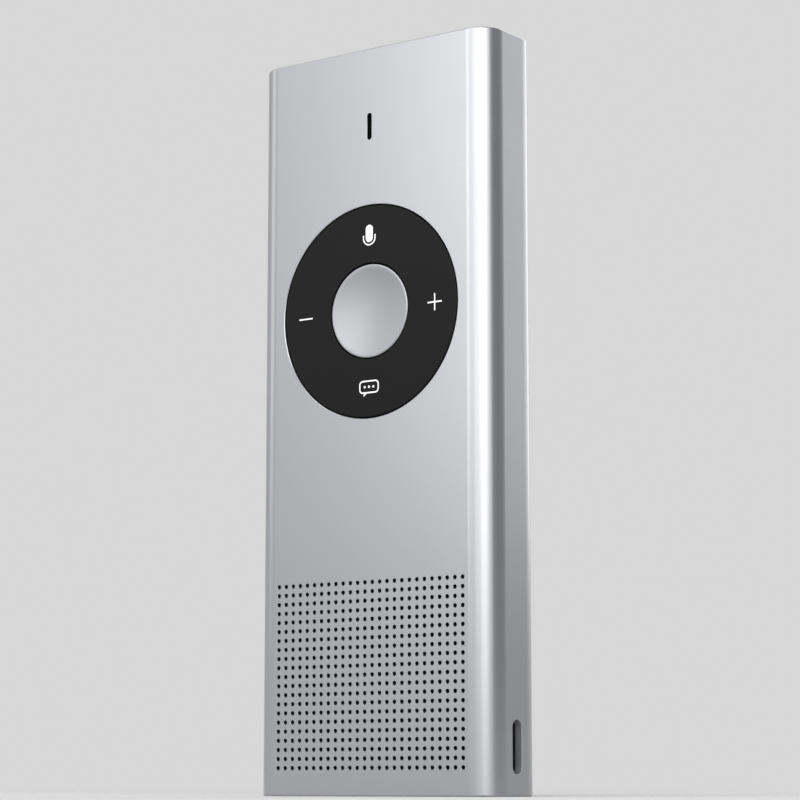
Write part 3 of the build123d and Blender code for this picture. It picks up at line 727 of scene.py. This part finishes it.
# One finish for each material slot of the record, and two more: for the button, and for the walls of
# the port opening. Blasted, etched and moulded grain is really about 0.05 to 0.1 mm wide. It is drawn
# two to four times as wide, because it wouldn't show otherwise.
FINISHES: dict[str, Finish] = {
    # Turned, then etched duller than the sleeve, so light spreads softly over the dish.
    "turned_aluminium": Finish(
        "anodised_aluminium_turned", "#A8A9AB", "#A4A5A8", 0.42,
        metallic=1.0, grain_mm=0.28, depth_mm=0.0016, patch_mm=14.0, drift=0.01,
    ),
    # Milled after blasting, so the cut walls scatter more light than they mirror.
    "milled_aluminium": Finish(
        "anodised_aluminium_milled", "#A6A7A9", "#A0A1A4", 0.75, metallic=1.0, grain_mm=0.2, depth_mm=0.002,
    ),
    # Fine even grain from glass beads, so highlights are broad and soft, with no brush lines.
    "anodised_aluminium": Finish(
        "anodised_aluminium_bead_blasted", "#B3B4B6", "#AFB0B3", 0.28,
        metallic=1.0, grain_mm=0.28, depth_mm=0.0016, patch_mm=14.0, drift=0.015,
    ),
    # Silver pigment in the plastic, so it is near the sleeve's colour but has no metal shine.
    "cap_plastic": Finish(
        "abs_silver_moulded", "#AAACAF", "#A4A6A9", 0.5, grain_mm=0.3, depth_mm=0.003,
    ),
    # Etched mould, so the black is soft and shows only a wide dull sheen.
    "key_plastic": Finish(
        "polycarbonate_black_etched", "#080809", "#070707", 0.42,
        grain_mm=0.22, depth_mm=0.002, patch_mm=10.0, specular=0.17,
    ),
    # Second shot moulded flush, so the white is solid with clean edges.
    "symbol_plastic": Finish(
        "polycarbonate_white_second_shot", "#F1F1F0", "#ECECEB", 0.4, grain_mm=0.2, depth_mm=0.001,
    ),
    # Glass fibres near the surface leave a slightly uneven dull black.
    "inner_plastic": Finish(
        "nylon_glass_filled_moulded", "#2B2C2E", "#353638", 0.6, grain_mm=0.5, depth_mm=0.008,
    ),
    # Rolled strip shows faint lines along its length.
    "stainless_steel": StrandedFinish(
        "stainless_steel_rolled", "#A9AAAC", "#9D9EA1", 0.3,
        metallic=1.0, grain_mm=0.12, depth_mm=0.001, axis=2, stretch=25.0,
    ),
    # Solder mask lies over the copper, so tracks show through as lighter green lines.
    "circuit_board": TracedFinish(
        "fr4_green_solder_mask", "#0F4A2B", "#2E7A4B", 0.32, grain_mm=0.4, depth_mm=0.003, track_mm=2.2,
    ),
    # Transfer-moulded epoxy is a flat charcoal with a sandy surface.
    "chip_epoxy": Finish(
        "epoxy_black_transfer_moulded", "#26272A", "#2E2F31", 0.55, grain_mm=0.1, depth_mm=0.003,
    ),
    # Fired ceramic is tan and slightly glossy.
    "capacitor_ceramic": Finish(
        "ceramic_tan_fired", "#A58560", "#8F7150", 0.35, grain_mm=0.15, depth_mm=0.002,
    ),
    # Thin gold over nickel keeps a smooth warm shine.
    "gold_plating": Finish(
        "gold_plated_nickel", "#D9B45A", "#CFA74E", 0.22, metallic=1.0, grain_mm=0.3, depth_mm=0.0006,
    ),
    # Fine enamelled wire lies turn by turn, so the coil shows close bands.
    "enamelled_copper": StrandedFinish(
        "copper_wire_enamelled", "#B06A38", "#95542A", 0.3,
        metallic=1.0, grain_mm=0.09, depth_mm=0.01, axis=0, stretch=60.0,
    ),
    # Amber film lies over copper lines, which show through it.
    "flex_film": TracedFinish(
        "polyimide_film_etched", "#8A5217", "#C07A2C", 0.35, grain_mm=0.3, depth_mm=0.002, track_mm=1.1,
    ),
    # Pressed silicone is dull and a little dusty.
    "silicone": Finish(
        "silicone_moulded", "#4A4B4D", "#545557", 0.62, grain_mm=0.25, depth_mm=0.004,
    ),
    # Open cells at the cut faces make foam look pitted.
    "foam": Finish(
        "polyurethane_foam_die_cut", "#2C2C2D", "#1E1E1F", 0.9, grain_mm=0.18, depth_mm=0.05,
    ),
    # Black threads at a pitch of 0.16 mm, so light dies between them.
    "acoustic_mesh": WovenFinish(
        "polyester_woven_black", "#0A0A0B", "#0F0F10", 0.8, grain_mm=0.16, depth_mm=0.03, specular=0.08,
    ),
    # The pouch is soft foil, so it has shallow dents.
    "battery_foil": Finish(
        "aluminium_laminate_pouch", "#B4B6B9", "#A6A8AC", 0.34,
        metallic=1.0, grain_mm=2.5, depth_mm=0.05, patch_mm=12.0, drift=0.05,
    ),
    # The tape's liner is a dull cream, like paper.
    "adhesive_tape": Finish(
        "acrylic_tape_white", "#E4E1D6", "#DAD6C9", 0.6, grain_mm=0.3, depth_mm=0.004,
    ),
    # Extruded insulation is smooth and slightly waxy, in either colour.
    "red_insulation": Finish(
        "pvc_red_extruded", "#B3241C", "#A51F18", 0.42, grain_mm=0.3, depth_mm=0.002,
    ),
    "black_insulation": Finish(
        "pvc_black_extruded", "#202123", "#28292B", 0.42, grain_mm=0.3, depth_mm=0.002,
    ),
    # Nickel over sintered magnet is bright with a faint orange-peel.
    "magnet_nickel": Finish(
        "neodymium_nickel_plated", "#C3C0B8", "#B8B5AC", 0.2, metallic=1.0, grain_mm=0.6, depth_mm=0.003,
    ),
    # Pressed film has a fine satin surface.
    "speaker_film": Finish(
        "polyester_film_pressed", "#38393B", "#303133", 0.4, grain_mm=0.4, depth_mm=0.003,
    ),
    # Thin pressed rubber is a dull black with no highlight.
    "surround_rubber": Finish(
        "rubber_thin_pressed", "#1D1D1E", "#262627", 0.7, grain_mm=0.2, depth_mm=0.003,
    ),
}


@dataclass
class Wardrobe:
    """Makes each finish's material once and hands it out.

    Attributes:
        made: the materials made so far, by the name of their finish.
    """

    made: dict[str, bpy.types.Material] = field(default_factory=dict)

    def material(self, slot: str) -> bpy.types.Material:
        """Return the material of a finish, which is made when it is first asked for.

        Args:
            slot: the finish's name: a slot's, or one of the two more.

        Returns:
            The material.
        """
        if slot not in self.made:
            self.made[slot] = FINISHES[slot].make()
        return self.made[slot]

    def dress(
        self, piece: bpy.types.Object, slot: str, body: Body, node: str, finish: str | None = None
    ) -> None:
        """Finish a new piece: give it its material, put it on its body, log its slot and hide the node that
        it stands for.

        Args:
            piece: the piece.
            slot: its slot in the record.
            body: the body that it rides on.
            node: the node that it stands for.
            finish: the name of its finish, where that isn't the slot's own.
        """
        piece.data.materials.clear()
        piece.data.materials.append(self.material(finish or slot))
        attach(piece, body.value)
        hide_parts(node)
        LOG.info("%s rides on %s in %s", piece.name, body.value, slot)

    def trim(self, piece: bpy.types.Object, finish: str, test: Callable[[Any], bool]) -> None:
        """Give some faces of a dressed piece a finish of their own.

        Args:
            piece: the piece.
            finish: the name of the other finish.
            test: says of a face whether it gets that finish.
        """
        piece.data.materials.append(self.material(finish))
        edit(piece)
        choose(Pick.FACES, test)
        piece.active_material_index = len(piece.data.materials) - 1
        bpy.ops.object.material_slot_assign()
        deselect()

    def dress_node(self, node: str, slot: str) -> None:
        """Give a carried-over node the material of its slot.

        Args:
            node: the node.
            slot: its slot in the record.
        """
        piece = frame["nodes"][node]
        family = [piece] if piece.type == "MESH" else piece.children_recursive
        for part in family:
            for holder in part.material_slots:
                holder.material = self.material(slot)
        LOG.info("%s keeps its shape in %s", node, slot)


# ------------------------------------------------------------------ sub-assemblies


@dataclass
class Sleeve:
    """The extruded sleeve with its key opening, microphone slot, speaker holes and port opening.

    Attributes:
        wardrobe: hands out the materials.
        wall: the thickness of the walls.
        corner: the radius of the upright corners.
        corner_steps: how many facets round each corner.
        end_edge: the radius of the edge round both ends.
        edge_steps: how many facets round that edge.
        border: how wide a strip of the front stays plain beside the corners.
        cut_reach: how far an opening's cutter goes in, in wall thicknesses.
        key_z: the height of the key opening's middle.
        key_radius: the radius of the key opening.
        key_sides: how many flats the key opening has.
        rim: the width of its chamfer.
        slot_z: the height of the microphone slot's middle.
        slot_size: the slot's width and height.
        port_z: the height of the port opening's middle.
        port_size: the opening's narrow side and its height.
        port_rim: the width of its chamfer.
        round_steps: how many facets round each quarter of a slot's round end.
        hole_radius: the radius of a speaker hole.
        hole_edge: the width of the chamfer at the speaker holes and the slot.
        hole_pitch: the distance from one hole to the next.
        hole_counts: how many columns and rows of holes there are.
        hole_lowest: the height of the lowest row.
        hole_sides: how many flats a hole has.
        hole_reach: how far the drill goes in, in wall thicknesses.
    """

    wardrobe: Wardrobe
    wall: float = 1.2 * MM
    corner: float = 4.2 * MM
    corner_steps: int = 32
    end_edge: float = 0.25 * MM
    edge_steps: int = 3
    border: float = 0.4 * MM
    cut_reach: float = 1.5
    key_z: float = 76.7 * MM
    key_radius: float = 17.35 * MM
    key_sides: int = 160
    rim: float = 0.09 * MM
    slot_z: float = 107.0 * MM
    slot_size: tuple[float, float] = (0.92 * MM, 4.4 * MM)
    port_z: float = 7.5 * MM
    port_size: tuple[float, float] = (2.5 * MM, 8.3 * MM)
    port_rim: float = 0.04 * MM
    round_steps: int = 12
    hole_radius: float = 0.35 * MM
    hole_edge: float = 0.03 * MM
    hole_pitch: float = 1.445 * MM
    hole_counts: tuple[int, int] = (26, 21)
    hole_lowest: float = 4.4 * MM
    hole_sides: int = 16
    hole_reach: float = 1.3

    def tube(self) -> bpy.types.Object:
        """Model the tube: a cuboid with rounded corners, bored through, with eased ends.

        Returns:
            The tube.
        """
        low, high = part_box("body_sleeve")
        tube = cuboid("body_shell", Vector(low), Vector(high))
        edit(tube)
        choose(Pick.EDGES, edges_along(2))
        bpy.ops.mesh.bevel(offset=self.corner, segments=self.corner_steps, affect="EDGES")
        choose(Pick.FACES, lambda face: abs(face.normal.z) > SAME_WAY)
        bpy.ops.mesh.inset(thickness=self.wall, use_even_offset=True)
        bpy.ops.mesh.delete(type="FACE")
        choose(Pick.EDGES, lambda edge: edge.is_boundary)
        bpy.ops.mesh.bridge_edge_loops()
        half = (Vector(high) - Vector(low)) / 2

        def on_outer_end(edge: Any) -> bool:
            """Say whether an edge lies on the outline of either end.

            Args:
                edge: the edge.

            Returns:
                True for the outline, False for the bore and for all other edges.
            """
            at_end = verts_at(2, low[2])(edge) or verts_at(2, high[2])(edge)
            middle = (edge.verts[0].co + edge.verts[1].co) / 2
            x, y = abs(middle.x), abs(middle.y)
            on_side = abs(x - half.x) < TOUCH or abs(y - half.y) < TOUCH
            past = max(x - (half.x - self.corner), 0), max(y - (half.y - self.corner), 0)
            return at_end and (on_side or math.hypot(*past) > self.corner - self.wall / 2)

        choose(Pick.EDGES, on_outer_end)
        bpy.ops.mesh.bevel(offset=self.end_edge, segments=self.edge_steps, affect="EDGES")
        deselect()
        return tube

    def mark_cells(self, tube: bpy.types.Object) -> None:
        """Divide the front wall into one cell for each hole, inside a plain border.

        Args:
            tube: the tube.
        """
        edit(tube)
        choose(Pick.FACES, faces_along(1, -1))
        bpy.ops.mesh.inset(thickness=self.border, use_even_offset=True)
        columns, rows = self.hole_counts
        first_x = -columns / 2 * self.hole_pitch
        first_z = self.hole_lowest - self.hole_pitch / 2
        planes = [((first_x + i * self.hole_pitch, 0, 0), (1, 0, 0)) for i in range(columns + 1)]
        planes += [((0, 0, first_z + i * self.hole_pitch), (0, 0, 1)) for i in range(rows + 1)]
        low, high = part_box("body_sleeve")
        flat_end = high[0] - self.corner - self.border / 2

        def on_front_wall(face: Any) -> bool:
            """Say whether a face is on the front wall, outside or inside, within its border.

            Args:
                face: the face.

            Returns:
                True for a face on the front wall.
            """
            middle = face.calc_center_median()
            in_wall = middle.y < low[1] / 2 and abs(middle.x) < flat_end
            return in_wall and abs(face.normal.y) > SAME_WAY

        for place, normal in planes:
            choose(Pick.FACES, on_front_wall)
            bpy.ops.mesh.bisect(plane_co=place, plane_no=normal)
        deselect()

    def stadium(self, axis: int, low: Vector, high: Vector, across: int) -> bpy.types.Object:
        """Model a straight cutter with round ends.

        Args:
            axis: the axis that it cuts along.
            low: its lowest corner.
            high: its highest corner.
            across: the axis of its narrow side.

        Returns:
            The cutter.
        """
        cutter = cuboid("cutter", low, high)
        edit(cutter)
        choose(Pick.EDGES, edges_along(axis))
        radius = (high[across] - low[across]) / 2 * ROUND_SHARE
        bpy.ops.mesh.bevel(offset=radius, segments=self.round_steps, affect="EDGES")
        deselect()
        return cutter

    def speaker_drill(self, front: float) -> bpy.types.Object:
        """Model one drill bit for the speaker holes and repeat it over the grid.

        Args:
            front: the depth of the front face.

        Returns:
            All the bits as one piece.
        """
        columns, rows = self.hole_counts
        x = -(columns - 1) / 2 * self.hole_pitch
        start = Vector((x, front + self.hole_edge, self.hole_lowest))
        end = Vector((x, front + self.hole_reach * self.wall, self.hole_lowest))
        drill = rod("drill", self.hole_radius, start, end, self.hole_sides)
        flare(drill, 1, -1, self.hole_edge)
        repeat(drill, columns, Vector((self.hole_pitch, 0, 0)))
        repeat(drill, rows, Vector((0, 0, self.hole_pitch)))
        return drill

    def in_port(self, face: Any) -> bool:
        """Say whether a face is on the wall of the port opening.

        Args:
            face: the face.

        Returns:
            True for a face that the port's cutter left, except its chamfer.
        """
        middle = face.calc_center_median()
        narrow, long = self.port_size
        near = abs(middle.y) < narrow and abs(middle.z - self.port_z) < long
        return near and middle.x > self.key_radius and abs(face.normal.x) < 0.5

    def build(self) -> None:
        """Model and dress the sleeve."""
        low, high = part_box("body_sleeve")
        front, reach = low[1], self.cut_reach * self.wall
        inside = front + reach
        rim = Vector((0, front + self.rim, self.key_z))
        key = rod("key", self.key_radius, rim, Vector((0, inside, self.key_z)), self.key_sides)
        flare(key, 1, -1, self.rim)
        narrow, long = self.slot_size
        slot = self.stadium(
            1, Vector((-narrow / 2, front + self.hole_edge, self.slot_z - long / 2)),
            Vector((narrow / 2, inside, self.slot_z + long / 2)), 0,
        )
        flare(slot, 1, -1, self.hole_edge)
        narrow, long = self.port_size
        port = self.stadium(
            0, Vector((high[0] - reach, -narrow / 2, self.port_z - long / 2)),
            Vector((high[0] - self.port_rim, narrow / 2, self.port_z + long / 2)), 1,
        )
        flare(port, 0, 1, self.port_rim)
        tube = self.tube()
        self.mark_cells(tube)
        combine(tube, [self.speaker_drill(front), key, slot, port], Blend.CUT)
        clean(tube)
        smooth(tube, lambda face: max(abs(face.normal.x), abs(face.normal.y)) > DEAD_FLAT)
        self.wardrobe.dress(tube, "anodised_aluminium", Body.CASING, "body_sleeve")
        self.wardrobe.trim(tube, "milled_aluminium", self.in_port)


@dataclass
class Keys:
    """The ring key with pockets for its four symbols, and the dished centre button.

    Attributes:
        wardrobe: hands out the materials.
        key_z: the height of the ring's middle.
        steps: how many steps a full turn of the lathe has.
        ring_radius: the radius of the ring's side wall.
        bore_radius: the radius of the hole that the button fills.
        flange_radius: the radius of the flange that holds the ring in the sleeve.
        flange_depth: the thickness of the flange.
        plate_depth: the thickness of the ring in front of the flange.
        ring_edge: the radius of the ring's edges.
        lug_reach: how far from the ring's middle a lug starts and ends.
        lug_half_width: half the width of a lug.
        lug_edge: the radius of a lug's back edges.
        lug_steps: how many facets round such an edge.
        pivot_y: the depth of the lugs' pivot holes.
        pivot_radius: the radius of a pivot hole.
        pivot_sides: how many flats a pivot hole has.
        button_edge: the radius of the button's edge.
        edge_steps: how many facets round an edge of the ring or the button.
        dish_radius: the radius of the dish at its rim.
        dish_depth: how deep the dish is in its middle.
        dish_steps: how many facets from the dish's rim to its middle.
        symbols: the nodes of the four symbols.
    """

    wardrobe: Wardrobe
    key_z: float = 76.7 * MM
    steps: int = 160
    ring_radius: float = 17.15 * MM
    bore_radius: float = 7.8 * MM
    flange_radius: float = 18.3 * MM
    flange_depth: float = 0.6 * MM
    plate_depth: float = 1.6 * MM
    ring_edge: float = 0.15 * MM
    lug_reach: tuple[float, float] = (11.7 * MM, 12.9 * MM)
    lug_half_width: float = 1.5 * MM
    lug_edge: float = 0.2 * MM
    lug_steps: int = 3
    pivot_y: float = -3.6 * MM
    pivot_radius: float = 0.38 * MM
    pivot_sides: int = 24
    button_edge: float = 0.22 * MM
    edge_steps: int = 5
    dish_radius: float = 7.25 * MM
    dish_depth: float = 0.8 * MM
    dish_steps: int = 18
    symbols: tuple[str, ...] = (
        "microphone_symbol", "minus_symbol", "plus_symbol", "speech_symbol",
    )

    @property
    def middle(self) -> Vector:
        """The middle of the ring, on the line that it is turned about."""
        return Vector((0, 0, self.key_z))

    def rounding(
        self, radius: float, face: float, edge: float, inward: int
    ) -> list[tuple[float, float]]:
        """Return the points of a rounded edge between a side wall and the face.

        Args:
            radius: the radius of the side wall.
            face: the depth of the face.
            edge: the radius of the rounding.
            inward: -1 if the face lies inside the wall, 1 if it lies outside.

        Returns:
            (radius, y) points from the side wall to the face.
        """
        angles = [QUARTER_TURN * i / self.edge_steps for i in range(self.edge_steps + 1)]
        return [
            (radius + inward * edge * (1 - math.cos(angle)), face + edge * (1 - math.sin(angle)))
            for angle in angles
        ]

    def symbol_drill(self, node: str) -> bpy.types.Object:
        """Copy a symbol, merged into one solid, with its front drawn out past the ring's face.

        Args:
            node: the symbol's node.

        Returns:
            The cutter of its pocket.
        """
        drill = frame["nodes"][node].copy()
        drill.data = drill.data.copy()
        bpy.context.scene.collection.objects.link(drill)
        clean(drill)
        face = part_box(node)[0][1]
        edit(drill)
        choose(Pick.FACES, verts_at(1, face))
        bpy.ops.transform.translate(value=(0, -self.ring_edge, 0))
        deselect()
        return drill

    def lug(self, side: int, front: float) -> bpy.types.Object:
        """Model one of the two lugs that hold the ring to its gimbal, with its pivot hole.

        Args:
            side: -1 for the lower lug, 1 for the upper one.
            front: the depth at which it starts, inside the flange.

        Returns:
            The lug.
        """
        near, far = sorted(side * reach for reach in self.lug_reach)
        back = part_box("ring_key")[1][1]
        low = Vector((-self.lug_half_width, front, self.key_z + near))
        high = Vector((self.lug_half_width, back, self.key_z + far))
        lug = cuboid("lug", low, high)
        edit(lug)
        choose(Pick.EDGES, lambda edge: edges_along(2)(edge) and verts_at(1, back)(edge))
        bpy.ops.mesh.bevel(offset=self.lug_edge, segments=self.lug_steps, affect="EDGES")
        deselect()
        reach = Vector((0, 0, self.lug_half_width))
        middle = Vector((0, self.pivot_y, self.key_z + (near + far) / 2))
        pivot = rod("pivot", self.pivot_radius, middle - reach, middle + reach, self.pivot_sides)
        combine(lug, [pivot], Blend.CUT)
        return lug

    def ring(self) -> bpy.types.Object:
        """Turn the ring key with its flange, weld on the lugs and sink the symbols' pockets.

        Returns:
            The ring key.
        """
        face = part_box("ring_key")[0][1]
        step = face + self.plate_depth
        back = step + self.flange_depth
        profile = [
            (self.bore_radius, back),
            *self.rounding(self.bore_radius, face, self.ring_edge, 1),
            *reversed(self.rounding(self.ring_radius, face, self.ring_edge, -1)),
            (self.ring_radius, step),
            (self.flange_radius, step),
            (self.flange_radius, back),
        ]
        ring = turned("ring_key_plate", profile, self.middle, self.steps)
        combine(ring, [self.lug(side, back - self.lug_edge) for side in (-1, 1)], Blend.WELD)
        combine(ring, [self.symbol_drill(node) for node in self.symbols], Blend.CUT)
        return ring

    def button(self) -> bpy.types.Object:
        """Turn the button cap: a straight side, a rounded edge and a dish that is part of a ball.

        Returns:
            The button cap.
        """
        low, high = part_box("button_cap")
        radius, face, back = high[0], low[1], high[1]
        ball = (self.dish_radius**2 + self.dish_depth**2) / (2 * self.dish_depth)
        ball_y = face + self.dish_depth - ball
        widest = math.asin(self.dish_radius / ball)
        angles = [widest * (1 - i / self.dish_steps) for i in range(self.dish_steps + 1)]
        dish = [(ball * math.sin(angle), ball_y + ball * math.cos(angle)) for angle in angles]
        edge = self.rounding(radius, face, self.button_edge, -1)
        profile = [(0.0, back), (radius, back), *edge, *dish]
        return turned("button_dished_cap", profile, self.middle, self.steps)

    def build(self) -> None:
        """Model and dress the keys."""
        ring = self.ring()
        clean(ring)
        smooth(ring, lambda face: abs(face.normal.y) > DEAD_FLAT)
        self.wardrobe.dress(ring, "key_plastic", Body.RING, "ring_key")
        button = self.button()
        smooth(button)
        self.wardrobe.dress(
            button, "anodised_aluminium", Body.BUTTON, "button_cap", "turned_aluminium"
        )


@dataclass
class EndCaps:
    """The moulded caps that close the sleeve at the top and the bottom.

    Attributes:
        wardrobe: hands out the materials.
        corner: the radius of a plate's corners.
        corner_steps: how many facets round each corner.
        rim: the radius of the edge round a plate's outer face.
        rim_steps: how many facets round that edge.
        clip_x: how far from the middle a clip starts and ends.
        clip_stem_y: the depths of a clip's stem.
        clip_hook_y: the depths of a clip's hook.
        hook_height: how high a hook is.
        thickness: the thickness of the top cap's plate.
        screw_x: how far from the middle a screw hole is.
        sink_radius: the radius of a countersink at its mouth.
        hole_radius: the radius of a screw hole.
        sink_depth: how deep a countersink is.
        hole_sides: how many flats a screw hole has.
    """

    wardrobe: Wardrobe
    corner: float = 2.95 * MM
    corner_steps: int = 12
    rim: float = 0.18 * MM
    rim_steps: int = 3
    clip_x: tuple[float, float] = (14.5 * MM, 17.5 * MM)
    clip_stem_y: tuple[float, float] = (-0.4 * MM, 0.4 * MM)
    clip_hook_y: tuple[float, float] = (0.3 * MM, 0.9 * MM)
    hook_height: float = 0.9 * MM
    thickness: float = 2.0 * MM
    screw_x: float = 10.0 * MM
    sink_radius: float = 1.4 * MM
    hole_radius: float = 0.8 * MM
    sink_depth: float = 0.8 * MM
    hole_sides: int = 32

    def plate(self, name: str, outer: int, low: Vector, high: Vector) -> bpy.types.Object:
        """Model a plate with round corners and a rounded rim on its outer face.

        Args:
            name: the piece's name.
            outer: 1 if its outer face looks up, -1 if it looks down.
            low: its lowest corner.
            high: its highest corner.

        Returns:
            The plate.
        """
        plate = cuboid(name, low, high)
        edit(plate)
        choose(Pick.EDGES, edges_along(2))
        bpy.ops.mesh.bevel(offset=self.corner, segments=self.corner_steps, affect="EDGES")
        choose(Pick.EDGES, verts_at(2, high.z if outer > 0 else low.z))
        bpy.ops.mesh.bevel(offset=self.rim, segments=self.rim_steps, affect="EDGES")
        deselect()
        return plate

    def clip(self, side: int, foot: float, root: float) -> bpy.types.Object:
        """Model one snap clip: a stem with a hook whose nose is chamfered.

        Args:
            side: -1 for the left clip, 1 for the right one.
            foot: how low the clip reaches.
            root: how high its stem goes into the cap.

        Returns:
            The clip.
        """
        near, far = sorted(side * x for x in self.clip_x)
        front, back = self.clip_stem_y
        stem = cuboid("stem", Vector((near, front, foot)), Vector((far, back, root)))
        front, back = self.clip_hook_y
        hook = cuboid("hook", Vector((near, front, foot)), Vector((far, back, foot + self.hook_height)))
        edit(hook)
        choose(Pick.EDGES, lambda edge: verts_at(1, back)(edge) and verts_at(2, foot)(edge))
        bpy.ops.mesh.bevel(offset=self.hook_height / 2, segments=1, affect="EDGES")
        combine(stem, [hook], Blend.WELD)
        return stem

    def top(self) -> bpy.types.Object:
        """Model the top cap with its two snap clips.

        Returns:
            The top cap.
        """
        low, high = (Vector(corner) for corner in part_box("top_cap"))
        under = high.z - self.thickness
        plate = self.plate("top_cap_plate", 1, Vector((low.x, low.y, under)), high)
        clips = [self.clip(side, low.z, under + self.rim) for side in (-1, 1)]
        combine(plate, clips, Blend.WELD)
        return plate

    def bottom(self) -> bpy.types.Object:
        """Model the bottom cap with its two countersunk screw holes.

        Returns:
            The bottom cap.
        """
        low, high = (Vector(corner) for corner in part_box("bottom_cap"))
        plate = self.plate("bottom_cap_plate", -1, low, high)
        holes, sinks = [], []
        for side in (-1, 1):
            start = Vector((side * self.screw_x, 0, low.z + self.sink_depth / 2))
            end = Vector((side * self.screw_x, 0, high.z + self.rim))
            holes.append(rod("hole", self.hole_radius, start, end, self.hole_sides))
            bpy.ops.mesh.primitive_cone_add(
                vertices=self.hole_sides, radius1=self.sink_radius, radius2=self.hole_radius,
                depth=self.sink_depth, location=(start.x, 0, start.z),
            )
            sinks.append(settle("sink"))
        combine(plate, holes, Blend.CUT)
        combine(plate, sinks, Blend.CUT)
        return plate

    def build(self) -> None:
        """Model and dress both caps."""
        for cap, node in ((self.top(), "top_cap"), (self.bottom(), "bottom_cap")):
            clean(cap)
            smooth(cap)
            self.wardrobe.dress(cap, "cap_plastic", Body.CASING, node)


@dataclass
class CarriedOver:
    """The nodes whose shape is right as it is, each in the material of its slot.

    Attributes:
        wardrobe: hands out the materials.
        replaced: the nodes that new pieces stand for.
    """

    wardrobe: Wardrobe
    replaced: tuple[str, ...] = ("body_sleeve", "ring_key", "button_cap", "top_cap", "bottom_cap")

    def build(self) -> None:
        """Dress every node that isn't replaced."""
        for part in frame["record"]["subparts"]:
            if part["node"] not in self.replaced:
                self.wardrobe.dress_node(part["node"], part["material_slot"])


# ------------------------------------------------------------------ studio


@dataclass
class Softbox:
    """One soft lamp.

    Attributes:
        name: the lamp's name.
        azimuth: its bearing in degrees, from the front round to the right.
        height: its elevation in degrees.
        distance: how far it is from the middle of the object.
        size: its width and height.
        power: its power in watts.
    """

    name: str
    azimuth: float
    height: float
    distance: float
    size: tuple[float, float]
    power: float

    def build(self, target: Vector) -> None:
        """Hang the lamp so that it looks at the target.

        Args:
            target: the point that it looks at.
        """
        turn, rise = math.radians(self.azimuth), math.radians(self.height)
        level = Vector((math.sin(turn), -math.cos(turn), 0)) * math.cos(rise)
        way = level + Vector((0, 0, math.sin(rise)))
        data = bpy.data.lights.new(self.name, "AREA")
        data.shape = "RECTANGLE"
        data.size, data.size_y = self.size
        data.energy = self.power
        lamp = bpy.data.objects.new(self.name, data)
        lamp.location = target + way * self.distance
        lamp.rotation_euler = way.to_track_quat("Z", "Y").to_euler()
        lamp.visible_camera = False
        bpy.context.scene.collection.objects.link(lamp)


@dataclass
class Studio:
    """A plain pale floor, a soft surround, lamps and the camera.

    Attributes:
        floor_size: the side of the floor in metres.
        floor_finish: the floor's finish, which also holds the backdrop.
        camera_place: where the camera stands.
        camera_azimuth: how far it is turned to its left, in degrees.
        camera_pitch: how far it is tilted up, in degrees.
        camera_lens: its focal length in millimetres.
        lamps: the lamps.
    """

    floor_size: float = 12.0
    # Pressed paper fibres give a matt white with hardly any mottle.
    floor_finish: PaperFinish = PaperFinish(
        "paper_matt_white", "#D2D2D2", "#CFCFCF", 0.9,
        grain_mm=0.6, depth_mm=0.01, patch_mm=60.0, specular=0.1,
    )
    camera_place: tuple[float, float, float] = (240.96 * MM, -324.41 * MM, 2.0 * MM)
    camera_azimuth: float = 36.49
    camera_pitch: float = 8.6
    camera_lens: float = 114.1
    lamps: tuple[Softbox, ...] = (
        Softbox("left_softbox", -64, 26, 1.0, (0.43, 0.8), 0.8),
        Softbox("front_left_softbox", -18, 26, 1.0, (0.58, 0.8), 1.65),
        Softbox("front_strip", -28, 26, 1.0, (0.18, 0.8), 0.5),
        Softbox("front_softbox", 12, 24, 1.0, (0.43, 0.8), 1.8),
        Softbox("right_softbox", 41, 22, 1.0, (0.57, 0.8), 3.7),
        Softbox("right_strip", 65, 22, 1.0, (0.28, 0.8), 0.95),
        Softbox("side_strip", 152, 26, 1.0, (0.28, 0.8), 0.67),
        Softbox("rim_softbox", 176, 26, 1.0, (0.43, 0.8), 1.5),
        Softbox("overhead_softbox", -30, 68, 1.0, (0.9, 0.5), 1.4),
    )

    def floor(self) -> None:
        """Lay the floor under the object."""
        deselect()
        bpy.ops.mesh.primitive_plane_add(size=self.floor_size, location=(0, 0, 0))
        floor = settle("floor")
        floor.data.materials.append(self.floor_finish.make())
        floor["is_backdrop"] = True

    def surround(self) -> None:
        """Light the world softly with the backdrop."""
        world = bpy.data.worlds.new("studio")
        bpy.context.scene.world = world
        world.use_nodes = True
        tree = world.node_tree
        tree.nodes.clear()
        way = add_node(tree, "ShaderNodeTexCoord").outputs["Generated"]
        colour = self.floor_finish.backdrop.colour(tree, way)
        light = add_node(tree, "ShaderNodeBackground", {"Strength": 1.0}, {"Color": colour})
        add_node(tree, "ShaderNodeOutputWorld", links={"Surface": light.outputs["Background"]})

    def camera(self) -> None:
        """Set up the camera low in front of the object, tilted up a little."""
        data = bpy.data.cameras.new("camera")
        data.lens = self.camera_lens
        data.sensor_width = 36.0
        data.clip_start = 0.01
        camera = bpy.data.objects.new("camera", data)
        camera.location = self.camera_place
        tilt = QUARTER_TURN + math.radians(self.camera_pitch)
        camera.rotation_euler = (tilt, 0, math.radians(self.camera_azimuth))
        bpy.context.scene.collection.objects.link(camera)
        bpy.context.scene.camera = camera

    def build(self) -> None:
        """Set up the whole studio."""
        self.floor()
        self.surround()
        low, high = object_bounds()
        for lamp in self.lamps:
            lamp.build((Vector(low) + Vector(high)) / 2)
        self.camera()
        bpy.context.scene.view_settings.view_transform = "Standard"


def main() -> None:
    """Build every sub-assembly in order."""
    logging.basicConfig(level=logging.INFO, format="%(name)s: %(message)s")
    wardrobe = Wardrobe()
    Sleeve(wardrobe).build()
    Keys(wardrobe).build()
    EndCaps(wardrobe).build()
    CarriedOver(wardrobe).build()
    Studio().build()


if __name__ == "__main__":
    main()
